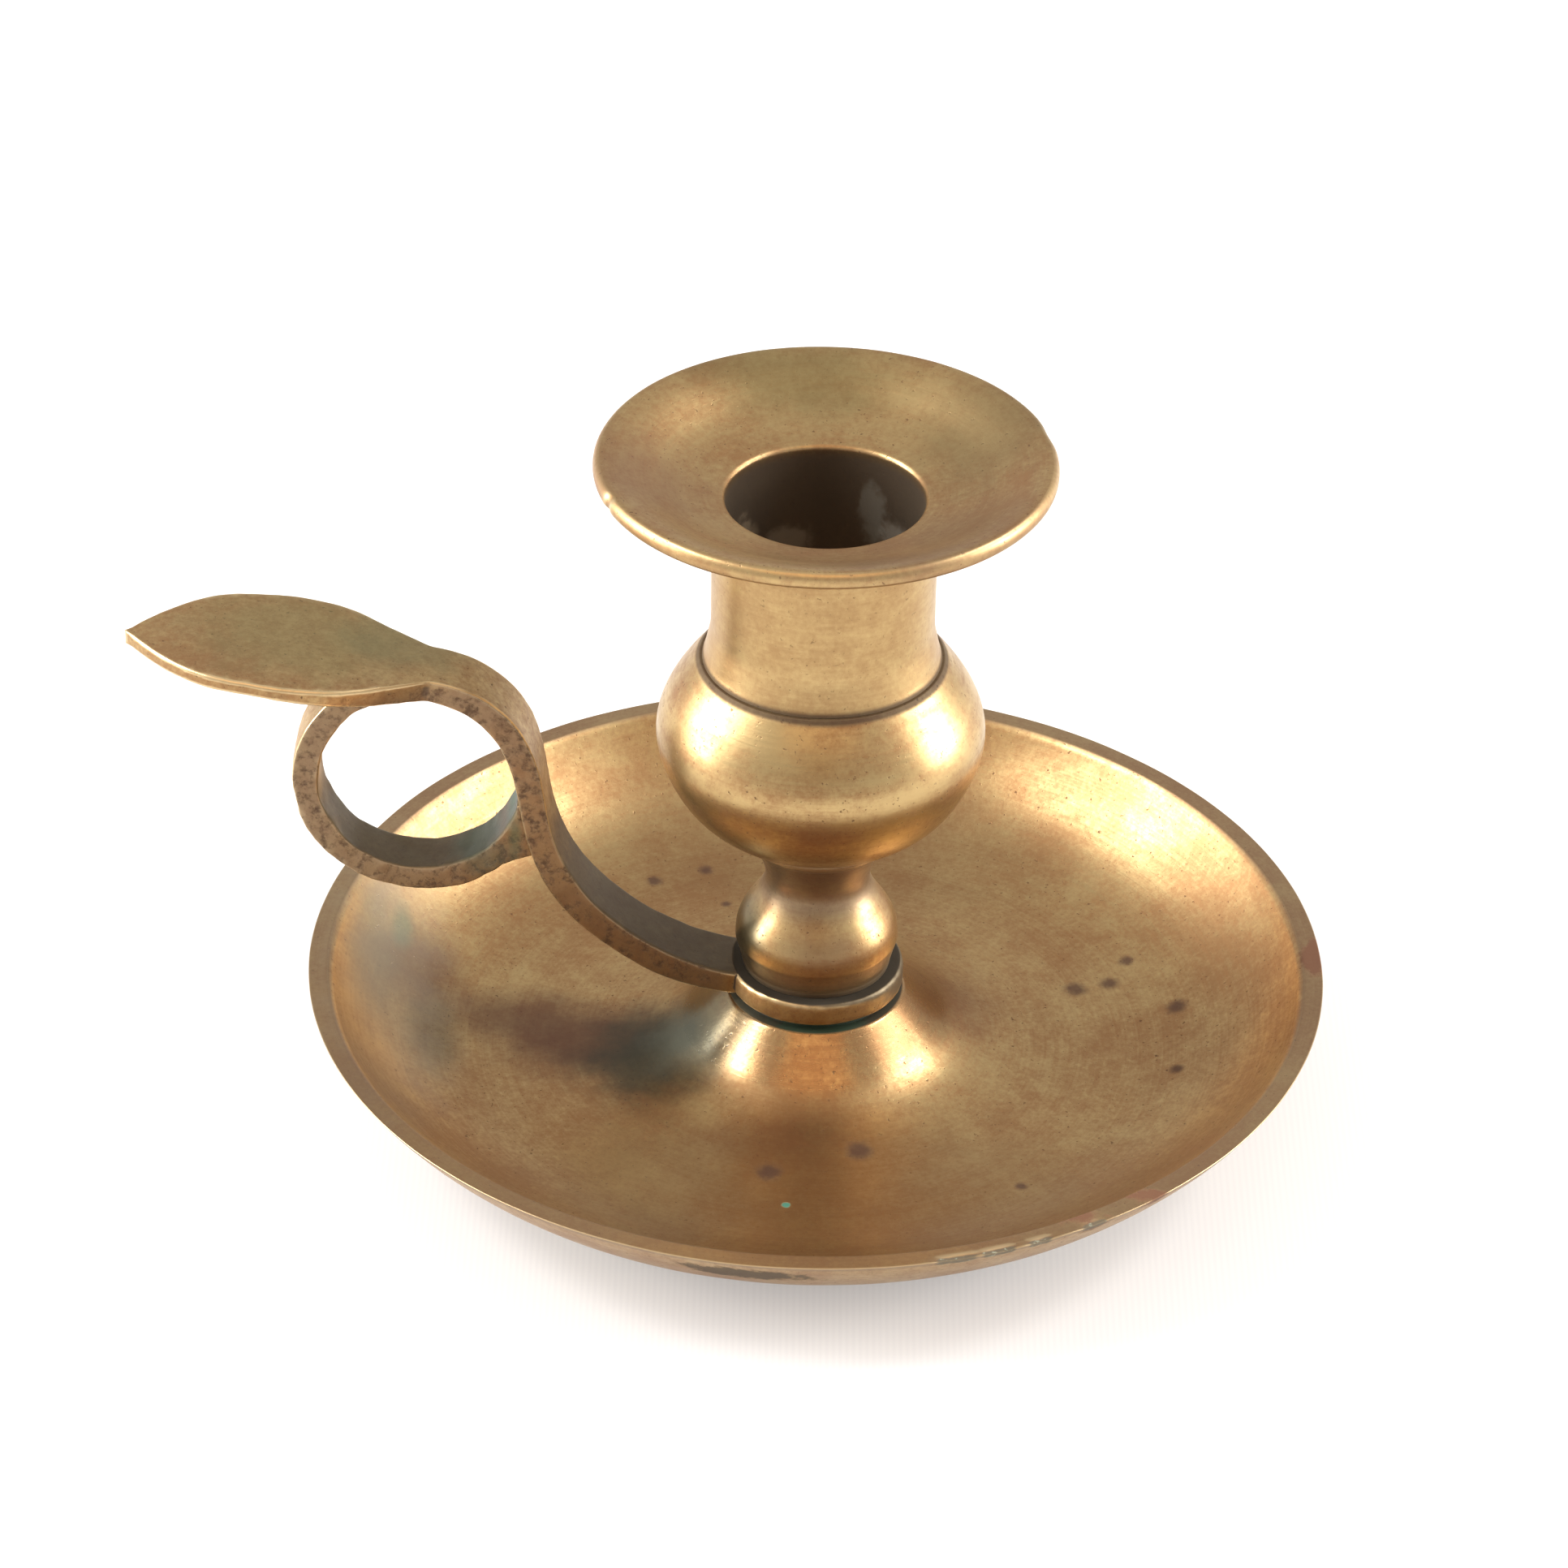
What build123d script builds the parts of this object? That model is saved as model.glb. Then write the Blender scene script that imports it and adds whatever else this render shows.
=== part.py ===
"""A small turned and cast brass chamberstick: drip pan, baluster stem, candle socket and finger handle.

Millimetres. +Z is up and the pan's foot stands on z = 0, with the stem's axis on the Z axis.
The handle reaches out along -X. Each piece is one closed solid, and neighbours touch face to face.
"""
from build123d import *
import math
import os

# --- drip pan -------------------------------------------------------------------------------
PAN_RADIUS = 60.0          # outside of the rim
PAN_HEIGHT = 14.0          # table to the rim's flat land
RIM_LAND = 2.3             # width of the flat land round the rim
RIM_BEVEL = 0.5            # small break between the land and the dish
FOOT_RADIUS = 41.5         # outer edge of the flat ring that the pan stands on
FOOT_INNER_RADIUS = 31.0   # where the hollow under the middle begins
WALL_ARC = 36.0            # radius of the curve outside the pan's wall
FLOOR_HEIGHT = 2.5         # top of the dish's floor
FLOOR_RADIUS = 36.4        # where the flat floor turns up into the wall
DISH_ARC = 25.0            # radius of the curve inside the wall
CONE_RADIUS = 31.0         # where the raised middle begins
BOSS_RADIUS = 10.6         # top edge of the raised middle
BOSS_HEIGHT = 10.0
SEAT_RADIUS = 8.6          # low step that the handle's eye rests on
SEAT_HEIGHT = 11.3
UNDER_RADIUS = 9.2         # flat spot under the middle, for the washer
UNDER_HEIGHT = 7.4

# --- handle ---------------------------------------------------------------------------------
EYE_RADIUS = 10.3
EYE_THICKNESS = 2.9
STRAP_WIDTH = 7.9
LEAF_REACH = 79.8          # stem axis to the leaf's tip
LEAF_HALF_WIDTH = 10.3
LEAF_THICKNESS = 1.8
NECK_X = -45.0             # where the strap becomes the leaf
NECK_THICKNESS = 2.8

# --- finger loop ----------------------------------------------------------------------------
LOOP_CENTRE_X = -46.3
LOOP_CENTRE_Z = 39.8
LOOP_OUTER_RADIUS = 14.7
LOOP_INNER_RADIUS = 11.7
LOOP_WIDTH = 6.4
LOOP_TOP_ANGLE = 110.0     # the end under the leaf, seen from the front, in degrees from +X
LOOP_LOW_ANGLE = 348.0     # the end on the strap

# --- stem -----------------------------------------------------------------------------------
STEM_FOOT_RADIUS = 9.0
STEM_FOOT_EDGE = 17.1      # height of the crisp line round the small bulb
SMALL_BULB_RADIUS = 9.4
NECK_LINE_RADIUS = 6.5     # crisp line where the small bulb ends and the neck's hollow begins
NECK_LINE_HEIGHT = 23.8
NECK_RADIUS = 6.12
NECK_HEIGHT = 25.4
BEAD_RADIUS = 9.05         # half-round bead under the big bulb
BEAD_HEIGHT = 32.6
BEAD_HALF = 0.7
BIG_BULB_RADIUS = 19.0
BIG_BULB_HEIGHT = 46.8
SHOULDER_RADIUS = 14.1
SHOULDER_HEIGHT = 56.2
SPIGOT_RADIUS = 10.0       # the socket's foot, sunk into the big bulb
SPIGOT_DEPTH = 4.0

# --- candle socket --------------------------------------------------------------------------
SOCKET_FOOT_RADIUS = 13.8
TUBE_RADIUS = 12.8
TUBE_FLARE_TOP = 61.0
FLANGE_RADIUS = 26.2
FLANGE_HEIGHT = 82.4
FLANGE_LIP = 1.9           # thickness at the flange's edge
FLANGE_ROOT_HEIGHT = 73.0  # where the flange leaves the tube
CANDLE_RADIUS = 11.35
CANDLE_MOUTH_HEIGHT = 77.3
CANDLE_FLOOR_HEIGHT = 57.4

# --- fixing through the pan -----------------------------------------------------------------
STUD_RADIUS = 3.0
STUD_CLEARANCE = 0.2
STUD_TOP = 24.2
STUD_HOLE_TOP = 25.0
STUD_BOTTOM = 1.4
WASHER_RADIUS = 8.2
WASHER_THICKNESS = 1.2
NUT_ACROSS_FLATS = 10.0
NUT_THICKNESS = 4.0
NUT_CHAMFER = 0.5

EYE_TOP = SEAT_HEIGHT + EYE_THICKNESS
HOLE_RADIUS = STUD_RADIUS + STUD_CLEARANCE


def save(builder, name):
    """Label a finished piece and write it to its own STEP file."""
    builder.part.label = name
    export_step(builder.part, f"parts/{name}.step")
    print(f"{name:15s} volume {builder.part.volume / 1000:7.2f} cm3, solids {len(builder.part.solids())}")


def make_drip_pan():
    """The dished pan, with its raised middle, flat rim and hollow underside."""
    dish_centre = (FLOOR_RADIUS, FLOOR_HEIGHT + DISH_ARC)
    bevel_z = PAN_HEIGHT - RIM_BEVEL
    bevel_r = dish_centre[0] + math.sqrt(DISH_ARC**2 - (dish_centre[1] - bevel_z) ** 2)
    with BuildPart() as pan:
        with BuildSketch(Plane.XZ):
            with BuildLine():
                Polyline(
                    (HOLE_RADIUS, SEAT_HEIGHT),
                    (SEAT_RADIUS, SEAT_HEIGHT),
                    (SEAT_RADIUS, BOSS_HEIGHT),
                    (BOSS_RADIUS, BOSS_HEIGHT),
                )
                TangentArc((CONE_RADIUS, FLOOR_HEIGHT), (BOSS_RADIUS, BOSS_HEIGHT), tangent=(-1, 0))
                Line((CONE_RADIUS, FLOOR_HEIGHT), (FLOOR_RADIUS, FLOOR_HEIGHT))
                TangentArc((FLOOR_RADIUS, FLOOR_HEIGHT), (bevel_r, bevel_z), tangent=(1, 0))
                Polyline(
                    (bevel_r, bevel_z),
                    (PAN_RADIUS - RIM_LAND, PAN_HEIGHT),
                    (PAN_RADIUS, PAN_HEIGHT),
                )
                RadiusArc((PAN_RADIUS, PAN_HEIGHT), (FOOT_RADIUS, 0), WALL_ARC)
                Line((FOOT_RADIUS, 0), (FOOT_INNER_RADIUS, 0))
                TangentArc((FOOT_INNER_RADIUS, 0), (UNDER_RADIUS, UNDER_HEIGHT), tangent=(-1, 0))
                Polyline(
                    (UNDER_RADIUS, UNDER_HEIGHT),
                    (HOLE_RADIUS, UNDER_HEIGHT),
                    (HOLE_RADIUS, SEAT_HEIGHT),
                )
            make_face()
        revolve(axis=Axis.Z)
    return pan


def make_handle_strap():
    """Eye, S-shaped strap and thumb leaf in one casting: a side shape trimmed by a plan shape."""
    leaf_half = LEAF_HALF_WIDTH
    half_strap = STRAP_WIDTH / 2
    with BuildPart() as handle:
        with BuildSketch(Plane.XZ):
            with BuildLine():
                Line((EYE_RADIUS + 1, EYE_TOP), (-9.0, EYE_TOP))
                Spline(
                    (-9.0, EYE_TOP),
                    (-17.4, 17.0),
                    (-26.2, 24.1),
                    (-30.9, 33.2),
                    (-32.1, 40.5),
                    (-34.6, 47.6),
                    (-39.4, 52.2),
                    (NECK_X, 54.1),
                    tangents=((-1, 0.12), (-1, 0.16)),
                )
                Spline(
                    (NECK_X, 54.1),
                    (-62.0, 56.9),
                    (-LEAF_REACH - 1, 58.0),
                    tangents=((-1, 0.16), (-1, 0.02)),
                )
                Line((-LEAF_REACH - 1, 58.0), (-LEAF_REACH - 1, 58.0 - LEAF_THICKNESS))
                Spline(
                    (-LEAF_REACH - 1, 58.0 - LEAF_THICKNESS),
                    (-62.0, 56.9 - LEAF_THICKNESS),
                    (NECK_X, 54.1 - NECK_THICKNESS),
                    tangents=((1, -0.02), (1, -0.18)),
                )
                Spline(
                    (NECK_X, 54.1 - NECK_THICKNESS),
                    (-40.2, 49.2),
                    (-36.6, 44.6),
                    (-35.0, 38.8),
                    (-34.0, 32.5),
                    (-29.7, 23.1),
                    (-23.4, 17.0),
                    (-16.3, 12.9),
                    (-9.0, SEAT_HEIGHT),
                )
                Polyline(
                    (-9.0, SEAT_HEIGHT),
                    (EYE_RADIUS + 1, SEAT_HEIGHT),
                    (EYE_RADIUS + 1, EYE_TOP),
                )
            make_face()
        extrude(amount=2 * EYE_RADIUS, both=True)
        with BuildSketch() as plan:
            Circle(EYE_RADIUS)
            with Locations((NECK_X / 2, 0)):
                Rectangle(-NECK_X + 1, STRAP_WIDTH)
            with BuildLine():
                Spline(
                    (NECK_X, half_strap),
                    (-49.0, 6.3),
                    (-54.5, 9.2),
                    (-62.5, leaf_half),
                    (-71.5, 8.1),
                    (-LEAF_REACH, 0),
                    (-71.5, -8.1),
                    (-62.5, -leaf_half),
                    (-54.5, -9.2),
                    (-49.0, -6.3),
                    (NECK_X, -half_strap),
                )
                Line((NECK_X, -half_strap), (NECK_X, half_strap))
            make_face()
        extrude(amount=EYE_TOP + 2 * PAN_RADIUS, mode=Mode.INTERSECT)
        with Locations((0, 0, SEAT_HEIGHT)):
            Hole(HOLE_RADIUS, depth=2 * EYE_THICKNESS)
    return handle


def make_finger_loop(handle):
    """The round finger loop, brazed to the strap and the leaf, so its ends follow their undersides."""
    sweep_angle = LOOP_LOW_ANGLE - LOOP_TOP_ANGLE
    with BuildPart() as loop:
        with BuildSketch(Plane.XZ):
            with BuildLine():
                outer = CenterArc(
                    (LOOP_CENTRE_X, LOOP_CENTRE_Z), LOOP_OUTER_RADIUS, LOOP_TOP_ANGLE, sweep_angle
                )
                inner = CenterArc(
                    (LOOP_CENTRE_X, LOOP_CENTRE_Z), LOOP_INNER_RADIUS, LOOP_TOP_ANGLE, sweep_angle
                )
                Line(outer @ 0, inner @ 0)
                Line(outer @ 1, inner @ 1)
            make_face()
            with BuildLine():
                Polyline((-36.6, 29.0), (-33.0, 29.4), (-33.0, 33.0), (-35.6, 33.0), close=True)
            make_face()
        extrude(amount=LOOP_WIDTH / 2, both=True)
        add(handle.part, mode=Mode.SUBTRACT)
    return loop


def make_baluster_stem():
    """The turned stem: foot, small bulb, neck and big bulb, with the socket's seat and the stud's hole."""
    foot_edge = (STEM_FOOT_RADIUS + 0.25, STEM_FOOT_EDGE)
    bead_low = (BEAD_RADIUS - 0.6, BEAD_HEIGHT - BEAD_HALF)
    bead_high = (BEAD_RADIUS - 0.3, BEAD_HEIGHT + BEAD_HALF)
    with BuildPart() as stem:
        with BuildSketch(Plane.XZ):
            with BuildLine():
                Polyline((0, EYE_TOP), (STEM_FOOT_RADIUS, EYE_TOP), foot_edge)
                Spline(
                    foot_edge,
                    (SMALL_BULB_RADIUS, STEM_FOOT_EDGE + 0.5),
                    (8.85, 19.1),
                    (7.65, 21.1),
                    (NECK_LINE_RADIUS, NECK_LINE_HEIGHT),
                    tangents=((0.5, 0.8), (-0.25, 1)),
                )
                Spline(
                    (NECK_LINE_RADIUS, NECK_LINE_HEIGHT),
                    (NECK_RADIUS, NECK_HEIGHT),
                    (6.8, 28.6),
                    bead_low,
                    tangents=((-0.5, 1), (0.7, 0.7)),
                )
                ThreePointArc(bead_low, (BEAD_RADIUS, BEAD_HEIGHT), bead_high)
                Spline(
                    bead_high,
                    (11.7, 35.1),
                    (14.7, 38.1),
                    (17.1, 41.5),
                    (BIG_BULB_RADIUS, BIG_BULB_HEIGHT),
                    (17.7, 51.1),
                    (SHOULDER_RADIUS, SHOULDER_HEIGHT),
                )
                Line((SHOULDER_RADIUS, SHOULDER_HEIGHT), (0, SHOULDER_HEIGHT))
                Line((0, SHOULDER_HEIGHT), (0, EYE_TOP))
            make_face()
        revolve(axis=Axis.Z)
        with BuildSketch(Plane.XY.offset(SHOULDER_HEIGHT - SPIGOT_DEPTH)):
            Circle(SPIGOT_RADIUS)
        extrude(amount=SPIGOT_DEPTH, mode=Mode.SUBTRACT)
        with BuildSketch(Plane.XY.offset(EYE_TOP)):
            Circle(STUD_RADIUS)
        extrude(amount=STUD_HOLE_TOP - EYE_TOP, mode=Mode.SUBTRACT)
    return stem


def make_candle_socket():
    """The candle cup: spigot, flared foot, tube and the wide dished flange."""
    lip_bottom = FLANGE_HEIGHT - FLANGE_LIP
    with BuildPart() as socket:
        with BuildSketch(Plane.XZ):
            with BuildLine():
                Polyline(
                    (0, SHOULDER_HEIGHT - SPIGOT_DEPTH),
                    (SPIGOT_RADIUS, SHOULDER_HEIGHT - SPIGOT_DEPTH),
                    (SPIGOT_RADIUS, SHOULDER_HEIGHT),
                    (SOCKET_FOOT_RADIUS, SHOULDER_HEIGHT),
                )
                Spline(
                    (SOCKET_FOOT_RADIUS, SHOULDER_HEIGHT),
                    (13.2, 58.4),
                    (TUBE_RADIUS, TUBE_FLARE_TOP),
                    tangents=((-0.5, 1), (0, 1)),
                )
                Line((TUBE_RADIUS, TUBE_FLARE_TOP), (TUBE_RADIUS, FLANGE_ROOT_HEIGHT))
                Spline(
                    (TUBE_RADIUS, FLANGE_ROOT_HEIGHT),
                    (16.4, 77.2),
                    (FLANGE_RADIUS - 0.3, lip_bottom),
                    tangents=((0, 1), (1, 0.22)),
                )
                ThreePointArc(
                    (FLANGE_RADIUS - 0.3, lip_bottom),
                    (FLANGE_RADIUS, FLANGE_HEIGHT - FLANGE_LIP / 2),
                    (FLANGE_RADIUS - 0.4, FLANGE_HEIGHT),
                )
                Line((FLANGE_RADIUS - 0.4, FLANGE_HEIGHT), (FLANGE_RADIUS - 1.5, FLANGE_HEIGHT))
                Spline(
                    (FLANGE_RADIUS - 1.5, FLANGE_HEIGHT),
                    (18.5, 79.4),
                    (CANDLE_RADIUS + 0.5, CANDLE_MOUTH_HEIGHT),
                    tangents=((-1, -0.6), (-1, -0.25)),
                )
                TangentArc(
                    (CANDLE_RADIUS + 0.5, CANDLE_MOUTH_HEIGHT),
                    (CANDLE_RADIUS, CANDLE_MOUTH_HEIGHT - 0.6),
                    tangent=(-1, -0.25),
                )
                Polyline(
                    (CANDLE_RADIUS, CANDLE_MOUTH_HEIGHT - 0.6),
                    (CANDLE_RADIUS, CANDLE_FLOOR_HEIGHT),
                    (0, CANDLE_FLOOR_HEIGHT),
                    (0, SHOULDER_HEIGHT - SPIGOT_DEPTH),
                )
            make_face()
        revolve(axis=Axis.Z)
    return socket


def make_stem_stud():
    """The stud that ties stem, handle eye and pan together."""
    with BuildPart() as stud:
        with BuildSketch(Plane.XY.offset(STUD_BOTTOM)):
            Circle(STUD_RADIUS)
        extrude(amount=STUD_TOP - STUD_BOTTOM)
        chamfer(stud.edges().filter_by(GeomType.CIRCLE), length=0.4)
    return stud


def make_base_washer():
    """The washer in the hollow under the pan."""
    with BuildPart() as washer:
        with BuildSketch(Plane.XY.offset(UNDER_HEIGHT - WASHER_THICKNESS)):
            Circle(WASHER_RADIUS)
            Circle(HOLE_RADIUS, mode=Mode.SUBTRACT)
        extrude(amount=WASHER_THICKNESS)
    return washer


def make_base_nut():
    """The hexagon nut that draws the stud down."""
    nut_top = UNDER_HEIGHT - WASHER_THICKNESS
    corner_radius = NUT_ACROSS_FLATS / math.sqrt(3)
    with BuildPart() as nut:
        with BuildSketch(Plane.XY.offset(nut_top - NUT_THICKNESS)):
            RegularPolygon(radius=corner_radius, side_count=6)
        extrude(amount=NUT_THICKNESS)
        with BuildSketch(Plane.XZ):
            with BuildLine():
                Polyline(
                    (0, nut_top - NUT_THICKNESS),
                    (corner_radius - 2 * NUT_CHAMFER, nut_top - NUT_THICKNESS),
                    (corner_radius, nut_top - NUT_THICKNESS + NUT_CHAMFER),
                    (corner_radius, nut_top),
                    (0, nut_top),
                    close=True,
                )
            make_face()
        revolve(axis=Axis.Z, mode=Mode.INTERSECT)
        with BuildSketch(Plane.XY.offset(nut_top - NUT_THICKNESS)):
            Circle(STUD_RADIUS)
        extrude(amount=NUT_THICKNESS, mode=Mode.SUBTRACT)
    return nut


os.makedirs("parts", exist_ok=True)
drip_pan = make_drip_pan()
handle_strap = make_handle_strap()
finger_loop = make_finger_loop(handle_strap)
baluster_stem = make_baluster_stem()
candle_socket = make_candle_socket()
stem_stud = make_stem_stud()
base_washer = make_base_washer()
base_nut = make_base_nut()

save(drip_pan, "drip_pan")
save(handle_strap, "handle_strap")
save(finger_loop, "finger_loop")
save(baluster_stem, "baluster_stem")
save(candle_socket, "candle_socket")
save(stem_stud, "stem_stud")
save(base_washer, "base_washer")
save(base_nut, "base_nut")
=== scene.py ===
# %% [markdown]
# # An old brass chamberstick
#
# A chamberstick is a short candlestick with a pan to catch the wax and a handle to carry it to bed.
# This one was turned on a lathe in several pieces, with a cast handle, and screwed together from below.
# The sizes come from the CAD model, which loads first and never changes. Each piece below stands in for
# one CAD node, with finer curves, worn edges and an aged finish. Lengths are given in millimetres and
# turned into metres with MM.

import math

import bmesh
import bpy
import numpy as np
from mathutils import Matrix, Vector, noise


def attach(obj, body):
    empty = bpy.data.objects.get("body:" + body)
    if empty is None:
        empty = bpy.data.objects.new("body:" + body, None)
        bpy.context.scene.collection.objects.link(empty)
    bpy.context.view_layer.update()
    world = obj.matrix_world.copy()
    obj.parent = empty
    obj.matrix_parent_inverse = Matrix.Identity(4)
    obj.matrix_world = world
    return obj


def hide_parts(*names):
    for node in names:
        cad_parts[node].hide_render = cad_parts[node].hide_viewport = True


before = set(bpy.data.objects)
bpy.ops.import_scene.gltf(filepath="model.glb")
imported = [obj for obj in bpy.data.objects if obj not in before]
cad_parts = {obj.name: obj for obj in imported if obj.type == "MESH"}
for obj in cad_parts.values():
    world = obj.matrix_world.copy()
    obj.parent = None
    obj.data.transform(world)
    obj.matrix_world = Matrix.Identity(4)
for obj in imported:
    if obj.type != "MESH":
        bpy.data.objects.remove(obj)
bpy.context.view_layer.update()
MM = 0.001
print("CAD nodes:", sorted(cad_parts))


def link_object(name, data):
    """A new object in the scene that shows this data."""
    made = bpy.data.objects.new(name, data)
    bpy.context.scene.collection.objects.link(made)
    return made


# %% [markdown]
# ## The camera
#
# The stick is seen from the front and from about 33 degrees above, with a long lens, so the pan's circle
# is a nearly true ellipse. A camera can be aimed with a constraint, but writing its matrix out keeps the
# slight roll of a camera held by hand and leaves nothing live in the scene. The columns of the matrix are
# the camera's right, up and backward directions.

# %% Camera
CAMERA_TARGET = Vector((-4.13, 0.0, 38.48)) * MM
CAMERA_DISTANCE = 673.9 * MM
CAMERA_ELEVATION = math.radians(32.96)
CAMERA_ROLL = math.radians(0.95)
CAMERA_LENS = 133.2

level_right = Vector((1, 0, 0))
level_up = Vector((0, math.sin(CAMERA_ELEVATION), math.cos(CAMERA_ELEVATION)))
looking = Vector((0, math.cos(CAMERA_ELEVATION), -math.sin(CAMERA_ELEVATION)))
camera_right = level_right * math.cos(CAMERA_ROLL) + level_up * math.sin(CAMERA_ROLL)
camera_up = level_up * math.cos(CAMERA_ROLL) - level_right * math.sin(CAMERA_ROLL)

camera_data = bpy.data.cameras.new("camera")
camera_data.lens = CAMERA_LENS
camera_data.sensor_width = 36.0
camera_data.clip_start = 0.02
camera = link_object("camera", camera_data)
camera_turn = Matrix((camera_right, camera_up, -looking)).transposed().to_4x4()
camera_place = Matrix.Translation(CAMERA_TARGET - looking * CAMERA_DISTANCE)
camera.matrix_world = camera_place @ camera_turn
bpy.context.scene.camera = camera
print("camera at", [round(v, 3) for v in camera_place.translation], "m, lens", CAMERA_LENS, "mm")

# %% [markdown]
# ## Soft light
#
# Polished metal has no look of its own: it shows the room. The room here is a white table, an even pale
# sky, and a wide soft window on each side. Each window has a bright core near the table and a smaller one
# high up: the low cores give the twin highlights on the bulbs, the high ones those on the cone and inside
# the pan. A dim room in front and a warm ceiling above it fill the middle of every piece. An area light with
# a known radiance is easier to balance against the sky than one with a guessed power, so the power is worked
# out from the radiance and the size.

# %% Sky and windows
scene = bpy.context.scene
scene.view_settings.view_transform = "Standard"
world = bpy.data.worlds.new("pale_room")
world.use_nodes = True
scene.world = world
SKY_COLOUR = (1.0, 0.985, 0.965, 1.0)
SKY_STRENGTH = 0.68
world.node_tree.nodes["Background"].inputs["Color"].default_value = SKY_COLOUR
world.node_tree.nodes["Background"].inputs["Strength"].default_value = SKY_STRENGTH
LIGHT_CENTRE = Vector((0.0, 0.0, 30.0)) * MM


def outward_from_stick(azimuth, elevation):
    """The direction at these angles in degrees. Azimuth 0 is behind the stick, 90 to its right."""
    a = math.radians(azimuth)
    e = math.radians(elevation)
    return Vector((math.sin(a) * math.cos(e), math.cos(a) * math.cos(e), math.sin(e)))


def soft_window(name, azimuth, elevation, distance, width, height, radiance):
    """A square-cornered area light that faces the stick."""
    outward = outward_from_stick(azimuth, elevation)
    lamp = bpy.data.lights.new(name, "AREA")
    lamp.shape = "RECTANGLE"
    lamp.size = width
    lamp.size_y = height
    lamp.energy = radiance * math.pi * width * height
    holder = link_object(name, lamp)
    holder.location = LIGHT_CENTRE + outward * distance
    holder.rotation_euler = outward.to_track_quat("Z", "Y").to_euler()
    holder.visible_camera = False


soft_window("window_left", -84, 24, 1.3, 0.8, 1.15, 3.6)
soft_window("window_left_core", -86, 14, 1.2, 0.34, 0.5, 21.0)
soft_window("window_left_top", -90, 44, 1.2, 0.36, 0.3, 20.0)
soft_window("window_right", 82, 24, 1.3, 0.8, 1.15, 3.4)
soft_window("window_right_core", 86, 13, 1.2, 0.32, 0.48, 20.0)
soft_window("window_right_top", 76, 44, 1.2, 0.3, 0.28, 18.0)


def square_sheet(name, corners, material):
    """A mesh object with four corners and one face."""
    mesh = bpy.data.meshes.new(name)
    mesh.from_pydata(corners, [], [(0, 1, 2, 3)])
    mesh.materials.append(material)
    return link_object(name, mesh)


SQUARE = ((-1, -1), (1, -1), (1, 1), (-1, 1))


def room_card(name, azimuth, elevation, distance, width, height, colour, glow=0.0):
    """A screen that faces the stick, where the room is darker or warmer. The camera doesn't see it."""
    outward = outward_from_stick(azimuth, elevation)
    turn = outward.to_track_quat("Z", "Y").to_matrix()
    middle = LIGHT_CENTRE + outward * distance
    corners = [middle + turn @ Vector((x * width / 2, y * height / 2, 0)) for x, y in SQUARE]
    coat = bpy.data.materials.new(name)
    coat.use_nodes = True
    shader = coat.node_tree.nodes["Principled BSDF"]
    shader.inputs["Base Color"].default_value = (*colour, 1)
    shader.inputs["Roughness"].default_value = 1.0
    shader.inputs["Emission Color"].default_value = (*colour, 1)
    shader.inputs["Emission Strength"].default_value = glow
    card = square_sheet(name, corners, coat)
    card.visible_camera = False


room_card("dim_room_in_front", 180, 26, 1.4, 0.6, 0.45, (0.26, 0.18, 0.13))
room_card("warm_ceiling", 180, 60, 1.5, 1.3, 0.9, (0.56, 0.4, 0.27), 1.0)

# %% [markdown]
# ## Maths with shader sockets
#
# Stains, turning marks and worn edges are all sums and products of simple patterns. Wiring those
# by hand hides the idea, so a small class lets a socket be used in a Python expression. Colours go through
# the Mix node, because a Math node would turn them grey. One function adds any node: its settings first,
# since they decide which sockets it has.

# %% Nodes and sockets
def add_node(tree, kind, settings=None, sockets=None):
    """A new node, with its settings made first and then its sockets filled or linked."""
    node = tree.nodes.new(kind)
    for key, value in (settings or {}).items():
        setattr(node, key, value)
    for key, value in (sockets or {}).items():
        if isinstance(key, int):
            socket = node.inputs[key]
        else:
            socket = [s for s in node.inputs if s.name == key and s.enabled][0]
        if isinstance(value, Value):
            value = value.socket
        if isinstance(value, bpy.types.NodeSocket):
            tree.links.new(value, socket)
        else:
            socket.default_value = value
    return node


class Value:
    """A number that a shader works out at each point, to be used in Python arithmetic."""

    def __init__(self, tree, socket):
        self.tree = tree
        self.socket = socket

    def maths(self, operation, *numbers):
        node = add_node(self.tree, "ShaderNodeMath", {"operation": operation}, dict(enumerate(numbers)))
        return Value(self.tree, node.outputs[0])

    def __add__(self, other):
        return self.maths("ADD", self, other)

    def __radd__(self, other):
        return self.maths("ADD", other, self)

    def __sub__(self, other):
        return self.maths("SUBTRACT", self, other)

    def __rsub__(self, other):
        return self.maths("SUBTRACT", other, self)

    def __mul__(self, other):
        return self.maths("MULTIPLY", self, other)

    def __rmul__(self, other):
        return self.maths("MULTIPLY", other, self)

    def __truediv__(self, other):
        return self.maths("DIVIDE", self, other)

    def step(self, low, high):
        """0 at low and beyond, 1 at high, with a soft start and end. Low may be the larger one."""
        sockets = {"Value": self, "From Min": low, "From Max": high}
        node = add_node(self.tree, "ShaderNodeMapRange", {"interpolation_type": "SMOOTHSTEP"}, sockets)
        return Value(self.tree, node.outputs[0])


# %% [markdown]
# ## A finish built up in layers
#
# Old brass is a stack: metal with turning marks, a brown skin that comes and goes, black dirt where a cloth
# can't reach, green where it stayed damp, and bright metal where hands rub it. The class keeps the colour,
# roughness, metalness and height so far, and each new layer is laid over them through a mask. All patterns
# are in millimetres of object space, so they stay put on the piece from every side.

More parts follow.
